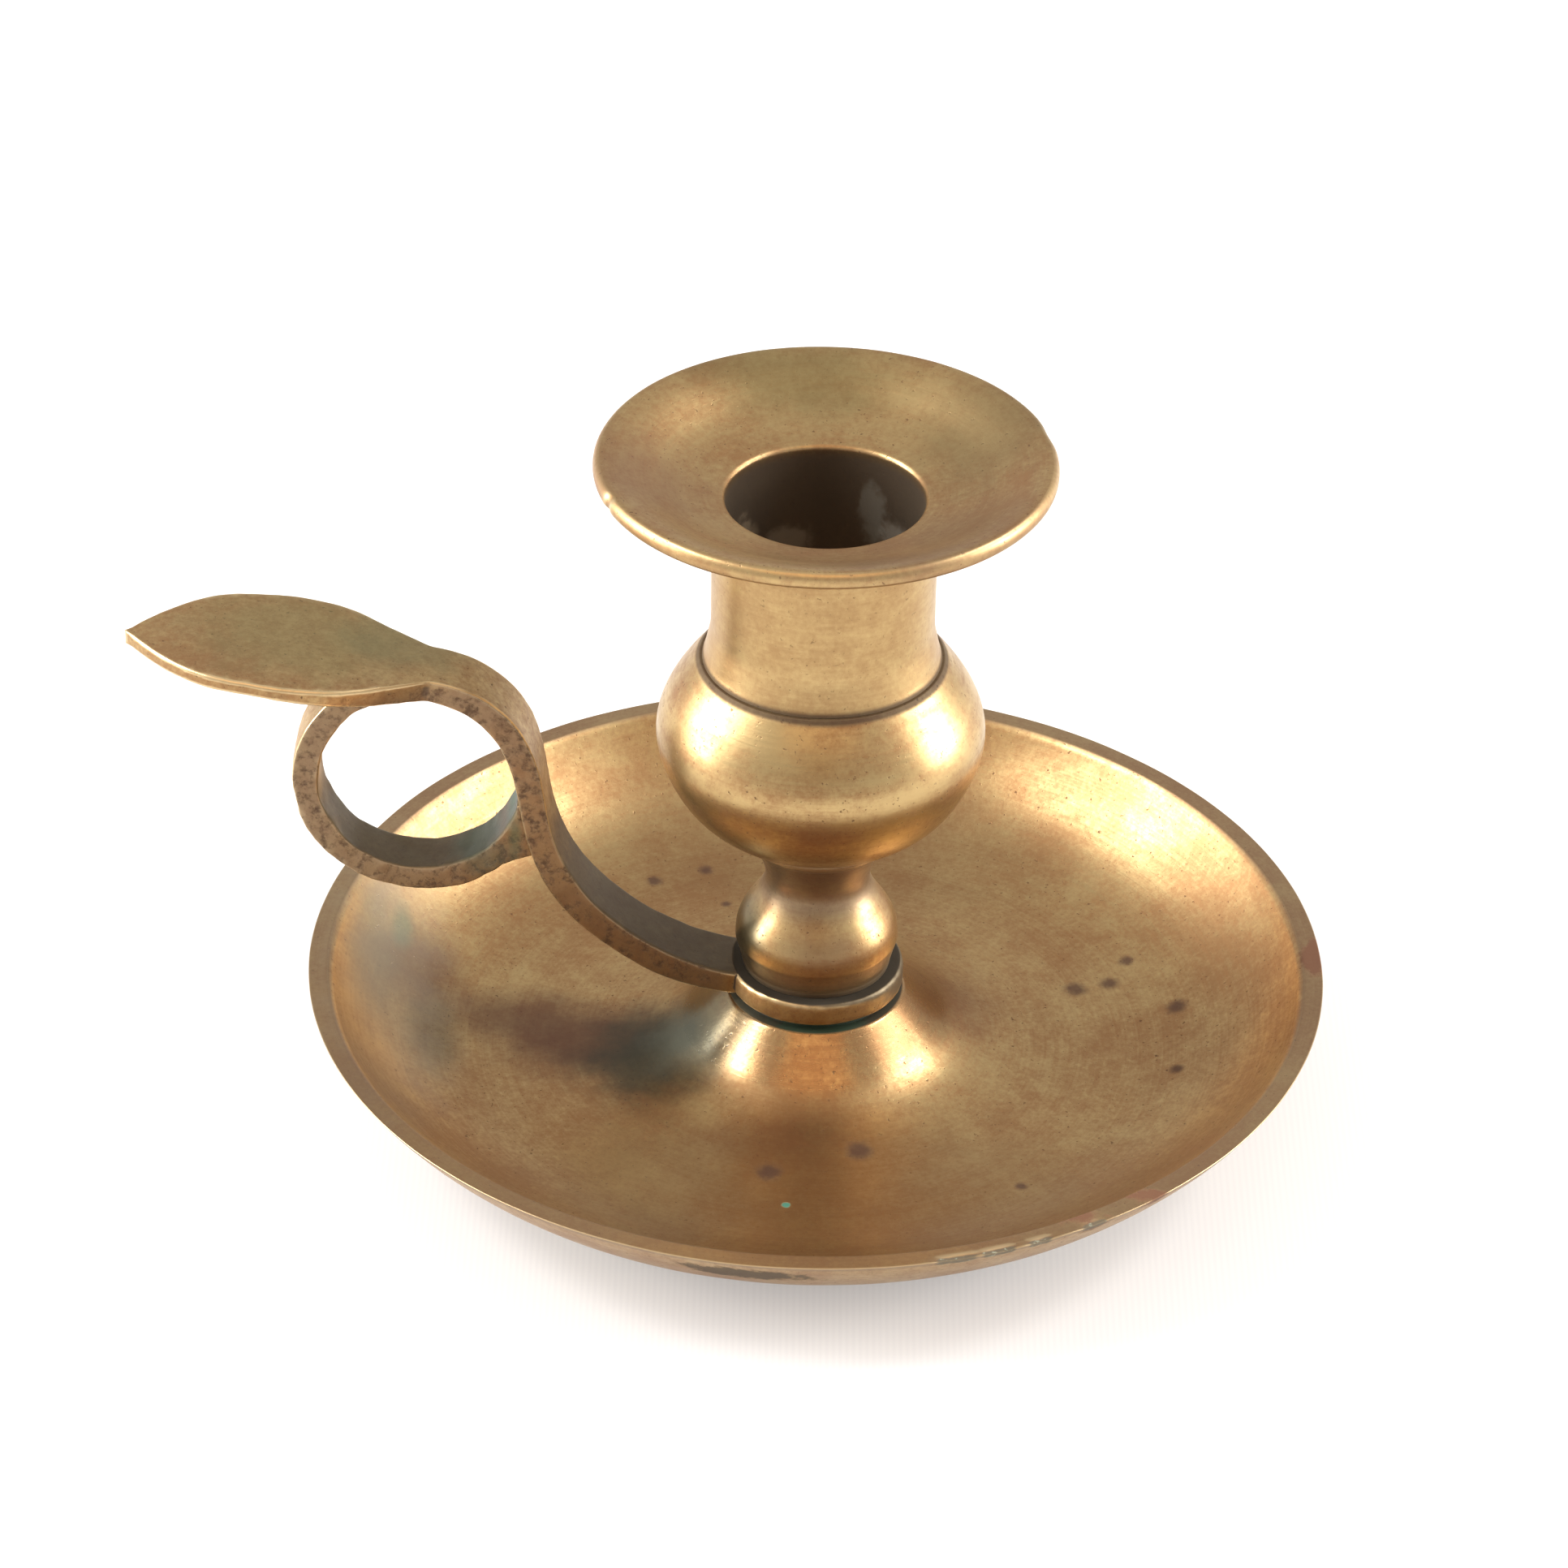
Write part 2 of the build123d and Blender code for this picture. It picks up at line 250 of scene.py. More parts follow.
# %% The Finish class
GOLD_BRASS = (0.54, 0.38, 0.175, 1)
BROWN_BRASS = (0.33, 0.18, 0.078, 1)
WORN_BRASS = (0.80, 0.60, 0.33, 1)
OLD_DIRT = (0.035, 0.022, 0.016, 1)
VERDIGRIS = (0.05, 0.16, 0.11, 1)
SPECULAR_LEVEL = 0.25


class Finish:
    """A material that is laid down in layers."""

    def __init__(self, name, colour, roughness):
        self.material = bpy.data.materials.new(name)
        self.material.use_nodes = True
        self.tree = self.material.node_tree
        self.tree.nodes.clear()
        spot = add_node(self.tree, "ShaderNodeTexCoord").outputs["Object"]
        scaled = self.vector("SCALE", {0: spot, "Scale": 1 / MM})
        self.place = scaled.outputs[0]
        parts = add_node(self.tree, "ShaderNodeSeparateXYZ", None, {0: self.place})
        self.x, self.y, self.z = [Value(self.tree, s) for s in parts.outputs]
        squared = self.x * self.x + self.y * self.y
        self.radius = squared.maths("SQRT", squared)
        self.colour = colour
        self.roughness = roughness
        self.metal = 1.0
        self.height = 0.0

    def vector(self, operation, sockets):
        """A Vector Math node."""
        return add_node(self.tree, "ShaderNodeVectorMath", {"operation": operation}, sockets)

    def number(self, kind, settings=None, sockets=None, output=0):
        """Any node that gives a number."""
        return Value(self.tree, add_node(self.tree, kind, settings, sockets).outputs[output])

    def facing(self, axis):
        """How far the surface faces along axis 0, 1 or 2, from -1 to 1."""
        normal = add_node(self.tree, "ShaderNodeNewGeometry").outputs["Normal"]
        return self.number("ShaderNodeSeparateXYZ", None, {0: normal}, axis)

    def speckle(self, size, detail=3.0, sharpness=0.55, seed=0.0):
        """Even noise with lumps of about this size in mm, from 0 to 1."""
        sockets = {
            "Vector": self.place,
            "W": seed,
            "Scale": 1 / size,
            "Detail": detail,
            "Roughness": sharpness,
        }
        return self.number("ShaderNodeTexNoise", {"noise_dimensions": "4D"}, sockets)

    def turned(self, spacing, run=2.0, seed=0.0):
        """Noise drawn out along the lathe's turning direction. Run is larger for shorter streaks."""
        cosine = self.x / self.radius
        sine = self.y / self.radius
        axes = {0: self.radius / spacing, 1: self.z / spacing, 2: sine * run}
        where = add_node(self.tree, "ShaderNodeCombineXYZ", None, axes)
        sockets = {"Vector": where.outputs[0], "W": cosine * run + seed, "Scale": 1.0, "Detail": 2.0}
        return self.number("ShaderNodeTexNoise", {"noise_dimensions": "4D"}, sockets)

    def attribute(self, name):
        """A number stored at each vertex of the mesh."""
        return self.number("ShaderNodeAttribute", {"attribute_name": name}, None, "Fac")

    def patch(self, centre, size, ragged=0.5, lumps=3.0, seed=0.0, edge=0.5):
        """1 inside a blot at this place, 0 outside it. Ragged says how far its edge wanders."""
        offset = self.vector("SUBTRACT", {0: self.place, 1: centre})
        shaped = self.vector("DIVIDE", {0: offset.outputs[0], 1: size})
        reach = self.number("ShaderNodeVectorMath", {"operation": "LENGTH"}, {0: shaped.outputs[0]}, "Value")
        wander = (self.speckle(lumps, 4.0, 0.6, seed) - 0.5) * (2 * ragged)
        return (reach + wander).step(1 + edge / 2, 1 - edge / 2)

    def mixed(self, mask, first, second):
        """One colour turned into another by the mask."""
        settings = {"data_type": "RGBA", "blend_type": "MIX", "clamp_factor": True}
        node = add_node(self.tree, "ShaderNodeMix", settings, {0: mask, 6: first, 7: second})
        return node.outputs[2]

    def lay(self, mask, colour=None, roughness=None, metal=None, height=None):
        """Lay one more coat over what is there, where the mask is 1."""
        if colour is not None:
            self.colour = self.mixed(mask, self.colour, colour)
        if roughness is not None:
            self.roughness = self.roughness + (roughness - self.roughness) * mask
        if metal is not None:
            self.metal = self.metal + (metal - self.metal) * mask
        if height is not None:
            self.height = self.height + mask * height

    def done(self):
        """Wire the layers into one Principled shader and give the material back."""
        sockets = {"Base Color": self.colour, "Roughness": self.roughness, "Metallic": self.metal}
        if isinstance(self.height, Value):
            bump = add_node(self.tree, "ShaderNodeBump", None, {"Height": self.height, "Distance": MM})
            sockets["Normal"] = bump.outputs[0]
        shader = add_node(self.tree, "ShaderNodeBsdfPrincipled", None, sockets)
        shader.inputs["Specular IOR Level"].default_value = SPECULAR_LEVEL
        add_node(self.tree, "ShaderNodeOutputMaterial", None, {"Surface": shader.outputs[0]})
        return self.material


# %% [markdown]
# ## Aged brass
#
# The base that every piece shares. Clean brass is a pale gold, and decades of air turn it brown in soft
# clouds. A turned piece has fine rings, a cast and filed one an even grain. The bump heights are in
# millimetres: a few thousandths is enough for metal, since a reflection doubles every slope.

# %% The shared brass
PIT_BROWN = (0.10, 0.05, 0.028, 1)
FINE_PIT_BROWN = (0.07, 0.04, 0.03, 1)
CLOUD_WEIGHT = 1.3
MOTTLE_WEIGHT = 0.9
MARK_WEIGHT = 0.35
GRAIN_WEIGHT = 1.0


def aged_brass(name, brown, roughness, ring_spacing=0.35, turned=True, seed=0.0, banded=0.6):
    """Gold and brown clouds, fine marks, dark pits, worn edges and dirty corners."""
    finish = Finish(name, GOLD_BRASS, roughness)
    clouds = finish.speckle(17.0, 3.0, 0.55, seed)
    mottle = finish.speckle(3.2, 5.0, 0.65, seed + 1)
    if turned:
        marks = finish.turned(ring_spacing, 2.2, seed + 2)
        broad = finish.turned(2.6, 1.2, seed + 3)
    else:
        marks = finish.speckle(0.5, 3.0, 0.6, seed + 2)
        broad = finish.speckle(1.6, 3.0, 0.6, seed + 3)
    grain = finish.speckle(0.7, 3.0, 0.7, seed + 4)
    skin = clouds * CLOUD_WEIGHT + mottle * MOTTLE_WEIGHT + broad * banded
    skin = skin + marks * MARK_WEIGHT + grain * GRAIN_WEIGHT
    weights = CLOUD_WEIGHT + MOTTLE_WEIGHT + banded + MARK_WEIGHT + GRAIN_WEIGHT
    centre = 0.5 * weights + (0.5 - brown) * 0.6
    skin = skin.step(centre - 0.45, centre + 0.45)
    finish.lay(skin, BROWN_BRASS, roughness + 0.05, 0.9)
    finish.roughness = finish.roughness + (marks - 0.5) * 0.16 + (mottle - 0.5) * 0.12
    finish.height = marks * 0.007 + broad * 0.012 + grain * 0.012
    pits = finish.speckle(0.5, 2.0, 0.5, seed + 5).step(0.64, 0.73)
    finish.lay(pits * 0.7, PIT_BROWN, 0.6, None, -0.015)
    fine_pits = finish.speckle(0.28, 1.0, 0.5, seed + 6).step(0.70, 0.76)
    finish.lay(fine_pits * mottle.step(0.4, 0.6) * 0.7, FINE_PIT_BROWN, 0.6)
    wear = finish.attribute("wear") * (0.55 + mottle)
    finish.lay(wear.step(0.15, 0.75) * 0.8, WORN_BRASS, 0.27)
    dirt = finish.attribute("grime") * (0.4 + mottle * 1.2)
    finish.lay(dirt.step(0.2, 0.8) * 0.9, OLD_DIRT, 0.7, 0.2)
    return finish


# %% [markdown]
# ## Drawing a turned piece
#
# A lathe makes any piece from half of its section, so only that half is drawn here, as a line of radius and
# height. Straight cuts, arcs and curves through a few points cover every shape. A cut edge is never
# perfectly sharp, so the finished line is blurred by about a tenth of a millimetre, and its points are then
# set close together where it bends and far apart where it runs straight.

# %% Outlines
LINE_STEP = 0.02


def smooth_curve(stops, leave=None, arrive=None, step=LINE_STEP):
    """Points along the smoothest cubic curve through the stops, with its end directions if given."""
    p = np.array(stops, float)
    chord = np.linalg.norm(np.diff(p, axis=0), axis=1)
    count = len(p)
    system = np.zeros((count, count))
    right = np.zeros_like(p)
    for i in range(1, count - 1):
        before, after = chord[i - 1], chord[i]
        system[i, i - 1 : i + 2] = after, 2 * (before + after), before
        right[i] = 3 * (after * (p[i] - p[i - 1]) / before + before * (p[i + 1] - p[i]) / after)
    for end, near, direction, gap in ((0, 1, leave, chord[0]), (-1, -2, arrive, chord[-1])):
        if direction is None:
            system[end, end], system[end, near] = 2, 1
            right[end] = 3 * abs(1 / gap) * (p[near] - p[end]) * (1 if end == 0 else -1)
        else:
            system[end, end] = 1
            right[end] = np.array(direction, float) / np.linalg.norm(direction)
    slope = np.linalg.solve(system, right)
    found = [p[:1]]
    for i in range(count - 1):
        t = np.linspace(0, 1, max(2, int(chord[i] / step) + 1))[1:, None]
        found.append(
            (1 + 2 * t) * (1 - t) ** 2 * p[i]
            + t * (1 - t) ** 2 * chord[i] * slope[i]
            + t * t * (3 - 2 * t) * p[i + 1]
            + t * t * (t - 1) * chord[i] * slope[i + 1]
        )
    return np.concatenate(found)


class Outline:
    """Half the section of a turned piece, as points of radius and height in millimetres."""

    def __init__(self, radius, height):
        self.points = np.array([(radius, height)], float)

    def line(self, *corners):
        for corner in corners:
            start = self.points[-1]
            count = max(2, int(np.linalg.norm(np.array(corner) - start) / LINE_STEP) + 1)
            t = np.linspace(0, 1, count)[1:, None]
            self.points = np.concatenate((self.points, start + (np.array(corner, float) - start) * t))
        return self

    def curve(self, *stops, leave=None, arrive=None):
        found = smooth_curve([self.points[-1], *stops], leave, arrive)
        self.points = np.concatenate((self.points, found[1:]))
        return self

    def arc(self, end, centre):
        """The short way round the centre to the end."""
        start = self.points[-1] - centre
        finish = np.array(end, float) - centre
        first = math.atan2(start[1], start[0])
        turn = (math.atan2(finish[1], finish[0]) - first + math.pi) % (2 * math.pi) - math.pi
        size = np.linalg.norm(start)
        angles = first + turn * np.linspace(0, 1, max(2, int(abs(turn) * size / LINE_STEP)))[1:]
        ring = np.stack((np.cos(angles), np.sin(angles)), 1) * size + centre
        self.points = np.concatenate((self.points, ring))
        return self

    def settle(self, soften=0.1, coarse=1.1, fine=0.06):
        """The outline with its edges broken, and with points only where they are needed."""
        p = self.points
        ends_on_axis = p[0][0] < 1e-6
        reach = int(4 * soften / LINE_STEP)
        weight = np.exp(-0.5 * (np.arange(-reach, reach + 1) * LINE_STEP / soften) ** 2)
        weight /= weight.sum()
        if ends_on_axis:
            padded = np.concatenate((2 * p[0] - p[reach:0:-1], p, 2 * p[-1] - p[-2 : -reach - 2 : -1]))
        else:
            padded = np.concatenate((p[-reach - 1 : -1], p, p[1 : reach + 1]))
        p = np.stack([np.convolve(padded[:, k], weight, "valid") for k in (0, 1)], 1)
        heading = np.unwrap(np.arctan2(*np.diff(p, axis=0).T[::-1]))
        length = np.linalg.norm(np.diff(p, axis=0), axis=1)
        bend = np.abs(np.gradient(heading)) / LINE_STEP
        gap = np.clip(0.22 / np.maximum(bend, 1e-6), fine, coarse)
        for order in (range(1, len(gap)), range(len(gap) - 2, -1, -1)):
            for i in order:
                beside = gap[i - 1] if order.step == 1 else gap[i + 1]
                gap[i] = min(gap[i], beside + 0.35 * LINE_STEP)
        along = np.concatenate(([0], np.cumsum(length / gap)))
        marks = np.linspace(0, along[-1], int(math.ceil(along[-1])) + 1)
        kept = np.stack([np.interp(marks, along, p[:, k]) for k in (0, 1)], 1)
        if ends_on_axis:
            kept[0, 0] = kept[-1, 0] = 0.0
        else:
            kept[-1] = kept[0]
        return kept


def flat_arc_centre(flat, other):
    """Centre of the arc that is level at the first point and ends at the second, curving upwards."""
    across, up = other[0] - flat[0], other[1] - flat[1]
    return (flat[0], flat[1] + (across**2 + up**2) / (2 * up))


# %% [markdown]
# ## Turning it with Geometry Nodes
#
# The Spin tool or a Screw modifier could sweep the outline round. A node tree does the same from a rule:
# a flat grid has one row for each point of the outline and one column for each step of the turn, and every
# vertex looks up its outline point and swings it round the axis. The tree's inputs are the number of
# steps, the material and the small wobble of a hand-finished surface. Merging by distance closes the
# seam, the poles and an outline that ends where it began.

# %% The turning tree
WOBBLE_SCALE = 90.0
SAME_SPOT = 0.001 * MM


def turning_tree():
    """The node tree, and its input sockets by name."""
    tree = bpy.data.node_groups.new("turn_on_lathe", "GeometryNodeTree")
    tree.interface.new_socket("Outline", in_out="INPUT", socket_type="NodeSocketGeometry")
    inputs = {}
    for name, kind in (("Steps", "Int"), ("Wobble", "Float"), ("Seed", "Float"), ("Finish", "Material")):
        inputs[name] = tree.interface.new_socket(name, in_out="INPUT", socket_type="NodeSocket" + kind)
    tree.interface.new_socket("Turned", in_out="OUTPUT", socket_type="NodeSocketGeometry")
    given = tree.nodes.new("NodeGroupInput").outputs

    def number(operation, *values):
        return add_node(tree, "ShaderNodeMath", {"operation": operation}, dict(enumerate(values))).outputs[0]

    def change(kind, geometry, **sockets):
        return add_node(tree, "GeometryNode" + kind, None, {"Geometry": geometry, **sockets}).outputs[0]

    rows = add_node(tree, "GeometryNodeAttributeDomainSize", None, {0: given["Outline"]}).outputs[0]
    columns = number("ADD", given["Steps"], 1.0)
    grid = add_node(tree, "GeometryNodeMeshGrid", None, {"Vertices X": columns, "Vertices Y": rows})
    index = tree.nodes.new("GeometryNodeInputIndex").outputs[0]
    row = number("MODULO", index, rows)
    column = number("FLOOR", number("DIVIDE", number("ADD", index, 0.5), rows))
    position = tree.nodes.new("GeometryNodeInputPosition").outputs[0]
    sample = add_node(
        tree,
        "GeometryNodeSampleIndex",
        {"data_type": "FLOAT_VECTOR", "domain": "POINT"},
        {"Geometry": given["Outline"], "Value": position, "Index": row},
    )
    drawn = add_node(tree, "ShaderNodeSeparateXYZ", None, {0: sample.outputs[0]}).outputs
    angle = number("MULTIPLY", number("DIVIDE", column, given["Steps"]), math.tau)
    x = number("MULTIPLY", drawn[0], number("COSINE", angle))
    y = number("MULTIPLY", drawn[0], number("SINE", angle))
    swung = add_node(tree, "ShaderNodeCombineXYZ", None, {0: x, 1: y, 2: drawn[2]}).outputs[0]
    noise_sockets = {"Vector": position, "W": given["Seed"], "Scale": WOBBLE_SCALE, "Detail": 1.0}
    lumps = add_node(tree, "ShaderNodeTexNoise", {"noise_dimensions": "4D"}, noise_sockets)
    middle = {0: lumps.outputs["Color"], 1: (0.5, 0.5, 0.5)}
    centred = add_node(tree, "ShaderNodeVectorMath", {"operation": "SUBTRACT"}, middle)
    amount = {0: centred.outputs[0], "Scale": given["Wobble"]}
    shift = add_node(tree, "ShaderNodeVectorMath", {"operation": "SCALE"}, amount)
    made = change("SetPosition", grid.outputs[0], Position=swung)
    made = change("MergeByDistance", made, Distance=SAME_SPOT)
    made = change("SetPosition", made, Offset=shift.outputs[0])
    made = change("SetShadeSmooth", made)
    made = change("RealizeInstances", made)
    made = change("SetMaterial", made, Material=given["Finish"])
    add_node(tree, "NodeGroupOutput", None, {0: made})
    return tree, inputs


LATHE, LATHE_INPUTS = turning_tree()


def close_and_orient(mesh):
    """Join doubled vertices, then point every face outwards."""
    work = bmesh.new()
    work.from_mesh(mesh)
    bmesh.ops.remove_doubles(work, verts=work.verts, dist=SAME_SPOT)
    bmesh.ops.recalc_face_normals(work, faces=work.faces)
    open_edges = sum(1 for e in work.edges if not e.is_manifold)
    work.to_mesh(mesh)
    work.free()
    return open_edges


def apply_modifiers(piece):
    """Give the piece the mesh that its modifiers make of it, and count that mesh's open edges."""
    graph = bpy.context.evaluated_depsgraph_get()
    made = bpy.data.meshes.new_from_object(piece.evaluated_get(graph))
    piece.modifiers.clear()
    piece.data = made
    return close_and_orient(made)


def turn_piece(name, outline, material, steps=256, wobble=0.05, seed=1.0):
    """A finished plain mesh, turned from an outline."""
    line = bpy.data.meshes.new(name)
    line.from_pydata([(r * MM, 0, z * MM) for r, z in outline], [], [])
    piece = link_object(name, line)
    lathe = piece.modifiers.new("lathe", "NODES")
    lathe.node_group = LATHE
    for key, value in (("Steps", steps), ("Wobble", wobble * MM), ("Seed", seed), ("Finish", material)):
        lathe[LATHE_INPUTS[key].identifier] = value
    piece.update_tag()
    bpy.context.view_layer.update()
    open_edges = apply_modifiers(piece)
    piece.data.name = name
    print(f"{name}: {len(outline)} rows, {len(piece.data.polygons)} faces, {open_edges} open edges")
    return piece


# %% [markdown]
# ## Worn edges and dirty corners
#
# Hands and cloths polish what stands proud, and dirt stays where nothing reaches. Blender has a pointiness
# input for this, but it depends on how a mesh is cut up and can't be seen or tested. Here each vertex
# measures how far its neighbours fall below or rise above it, and stores the two results as the attributes
# wear and grime, which the materials read.

# %% Wear and grime
def read_points(mesh):
    points = np.zeros(len(mesh.vertices) * 3)
    mesh.vertices.foreach_get("co", points)
    return points.reshape(-1, 3)


def write_points(mesh, points):
    mesh.vertices.foreach_set("co", points.ravel())
    mesh.update()


def read_normals(mesh):
    normals = np.zeros(len(mesh.vertices) * 3)
    mesh.vertices.foreach_get("normal", normals)
    return normals.reshape(-1, 3)


def store(mesh, name, values):
    """Keep one number for each vertex, for the materials to read."""
    attribute = mesh.attributes.new(name, "FLOAT", "POINT")
    attribute.data.foreach_set("value", values.astype(np.float32))


def angle_and_reach(points):
    """Each point's angle round the axis in degrees and its distance from the axis in millimetres."""
    return np.degrees(np.arctan2(points[:, 1], points[:, 0])), np.linalg.norm(points[:, :2], axis=1) / MM


def mark_wear(piece, low=0.035, high=0.11, spread=2):
    """Store wear on outward bends and grime on inward ones, each from 0 to 1."""
    mesh = piece.data
    points = read_points(mesh)
    normals = read_normals(mesh)
    ends = np.zeros(len(mesh.edges) * 2, int)
    mesh.edges.foreach_get("vertices", ends)
    a, b = ends.reshape(-1, 2).T
    along = points[b] - points[a]
    along /= np.maximum(np.linalg.norm(along, axis=1), 1e-9)[:, None]
    count = np.bincount(np.concatenate((a, b)), minlength=len(points))
    drop_a = -(along * normals[a]).sum(1)
    drop_b = (along * normals[b]).sum(1)
    drop = np.bincount(a, drop_a, len(points)) + np.bincount(b, drop_b, len(points))
    drop /= np.maximum(count, 1)
    for name, bend in (("wear", drop), ("grime", -drop)):
        amount = np.clip((bend - low) / (high - low), 0, 1)
        for _ in range(spread):
            around = np.bincount(a, amount[b], len(points)) + np.bincount(b, amount[a], len(points))
            amount = np.maximum(amount, 0.9 * around / np.maximum(count, 1))
        store(mesh, name, amount)
    print(f"{piece.name}: {int((drop > high).sum())} vertices on worn edges")


def mark_sheltered(piece, rule):
    """Store a number from 0 to 1 where the rule, given points in mm and normals, finds shelter."""
    amount = rule(read_points(piece.data) / MM, read_normals(piece.data))
    store(piece.data, "sheltered", np.clip(amount, 0, 1))


def between(values, low, high):
    """A soft step from 0 at low to 1 at high, for arrays."""
    t = np.clip((values - low) / (high - low), 0, 1)
    return t * t * (3 - 2 * t)


# %% [markdown]
# ## The finish of the drip pan
#
# The pan has had the hardest life. Wax and water left a nearly black stain beside the cone, green has
# crept over the wall on the left, and single dark spots are spread over the floor. Painting them by hand
# would be simplest, but a list of blots in the pan's own millimetres stays sharp at any size and is easy
# to change. Each blot is a soft ball whose edge is broken up by noise.

# %% Drip pan finish
PURPLE_BROWN = (0.11, 0.05, 0.032, 1)
GREEN_BLACK = (0.045, 0.05, 0.036, 1)
GREEN_FILM = (0.19, 0.2, 0.155, 1)
SPOT_BROWN = (0.16, 0.07, 0.04, 1)
SPOT_DARK = (0.06, 0.03, 0.025, 1)
FLOOR_BROWN = (0.24, 0.135, 0.06, 1)
RIM_BROWN = (0.22, 0.15, 0.10, 1)

pan_finish = aged_brass("pan_brass", brown=0.66, roughness=0.35, ring_spacing=0.3, seed=3.0, banded=0.3)
# The ledge under the handle's eye is painted near black: painted shade in the gap under the eye, with some
# dirt in it.
eye_gap_shade_and_dirt = pan_finish.radius.step(10.5, 10.2) * pan_finish.z.step(9.8, 10.2)
pan_finish.lay(eye_gap_shade_and_dirt * 0.95, (0.018, 0.02, 0.013, 1), 0.8, 0.1)
green_in_gap = pan_finish.patch((1, -10, 11), (6, 3, 1.5), 0.8, 1.2, 5.0, 0.8) * eye_gap_shade_and_dirt
pan_finish.lay(green_in_gap * 0.6, (0.02, 0.055, 0.032, 1), 0.8, 0.1)
rim_film = pan_finish.radius.step(57.2, 57.7) * pan_finish.z.step(13.0, 13.6)
pan_finish.lay(rim_film * 0.5, RIM_BROWN, 0.42, 0.85)
for centre, size, colour, strength, metal in (
    ((-36, 3, 2.5), (8, 5, 5), PURPLE_BROWN, 0.7, 0.8),
    ((-26, -2, 3), (10, 6, 6), PURPLE_BROWN, 0.85, 0.8),
    ((-19, -6, 4.5), (8, 8, 6), GREEN_BLACK, 0.85, 0.9),
    ((-13, -4, 7), (6, 7, 6), GREEN_FILM, 0.6, 1.0),
    ((-48, 9, 5.5), (5, 6, 5), PURPLE_BROWN, 0.55, 0.8),
    ((-45, -3, 5), (3, 7, 5), GREEN_BLACK, 0.5, 0.8),
    ((-53, 6, 10), (3, 12, 4), GREEN_FILM, 0.5, 0.9),
    ((-50, 14, 8), (1.2, 3, 3), VERDIGRIS, 0.5, 0.2),
    ((-6, -22, 3.7), (9, 4, 4), SPOT_BROWN, 0.45, 0.9),
    ((16, 5, 6), (6, 7, 6), SPOT_BROWN, 0.4, 0.9),
    ((6, -34, 3), (34, 14, 8), FLOOR_BROWN, 0.55, 0.9),
    ((-51, -6, 8), (7, 28, 9), (0.36, 0.30, 0.23, 1), 0.45, 0.9),
    ((-4, 38, 4), (30, 12, 8), FLOOR_BROWN, 0.35, 0.9),
):
    blot = pan_finish.patch(centre, size, 0.6, 5.0, centre[0], 1.3) * strength
    pan_finish.lay(blot, colour, 0.33, metal)
polished_cone = pan_finish.radius.step(18.0, 14.0) * pan_finish.z.step(4.5, 6.0)
pan_finish.roughness = pan_finish.roughness - polished_cone * 0.14
for x, y, size in (
    (-20.0, 32.7, 0.9), (-13.7, 35.4, 0.9), (37.9, 16.4, 0.9), (35.7, 12.1, 1.1),
    (31.6, 10.9, 1.3), (43.6, 5.9, 1.2), (43.0, -6.7, 0.8), (5.3, -23.2, 1.4),
    (-5.2, -27.1, 1.4), (-27.0, 31.0, 0.7), (-11.0, 28.0, 0.6), (24.0, -29.0, 0.7),
):
    mark = pan_finish.patch((x, y, 3.0), (size, size, 3.0), 0.5, 0.8, x, 1.2) * 0.8
    pan_finish.lay(mark, SPOT_DARK, 0.55, 0.6)
dot = pan_finish.patch((-3.1, -33.3, 2.5), (0.5, 0.5, 1.0), 0.3, 0.5, 7.0, 0.6)
pan_finish.lay(dot, VERDIGRIS, 0.8, 0.0)
for centre, size, colour in (
    ((59.5, 2, 13.8), (2, 3.5, 2), SPOT_BROWN),
    ((37.2, -45.6, 13.6), (2.6, 1.4, 0.9), SPOT_BROWN),
    ((30, -50, 13.4), (3.0, 1.6, 0.9), SPOT_BROWN),
):
    crust = pan_finish.patch(centre, size, 0.9, 1.6, centre[0], 0.5) * 0.85
    pan_finish.lay(crust, colour, 0.65, 0.3, 0.02)
# Darker on the downward faces under the front rim: a stain there and painted shade under the rim's overhang.
downward = pan_finish.facing(2).step(0.0, -0.15)
under_rim_stain_and_shade = pan_finish.patch((-8, -57.5, 10.8), (7.5, 3, 1.8), 0.9, 1.6, 8.0, 0.5) * downward
pan_finish.lay(under_rim_stain_and_shade * 0.85, (0.06, 0.045, 0.03, 1), 0.7, 0.2)
crumbs = pan_finish.attribute("chipped") * (0.2 + pan_finish.speckle(1.1, 4.0, 0.7, 51.0) * 1.4)
pan_finish.lay(crumbs.step(0.3, 0.7) * 0.85, (0.13, 0.11, 0.075, 1), 0.6, 0.3)
flecks = pan_finish.speckle(0.6, 2.0, 0.6, 52.0).step(0.56, 0.64) * crumbs.step(0.35, 0.7)
pan_finish.lay(flecks * 0.6, (0.36, 0.38, 0.28, 1), 0.6, 0.1)
PAN_BRASS = pan_finish.done()
print("pan finish:", len(PAN_BRASS.node_tree.nodes), "nodes")

# %% [markdown]
# ## The drip pan
#
# One spinning: a dished pan with a cone raised in its middle, a flat land round the rim, and a hollow under
# the cone for the washer and nut. The outline goes once round the section, from the hole for the stud over
# the top, down the outside wall and back underneath. Knocks have chipped the rim's outer edge at the front,
# so the vertices there are pushed in and marked for the finish.

# %% Turn the drip pan
FLOOR_EDGE = (36.4, 2.5)
CONE_FOOT = (31.0, 2.5)
CONE_TOP = (10.5, 10.35)
DISH_ARC = 25.0
RIM_TOP = 14.0
DISH_CENTRE = (FLOOR_EDGE[0], FLOOR_EDGE[1] + DISH_ARC)
RIM_BREAK_TOP = RIM_TOP - 0.5
RIM_BREAK_OUT = math.sqrt(DISH_ARC**2 - (DISH_CENTRE[1] - RIM_BREAK_TOP) ** 2)
RIM_BREAK = (DISH_CENTRE[0] + RIM_BREAK_OUT, RIM_BREAK_TOP)
UNDER_SPOT = (9.2, 7.4)
FOOT_INNER = (31.0, 0.0)
WALL_CENTRE = (30.15, 34.14)

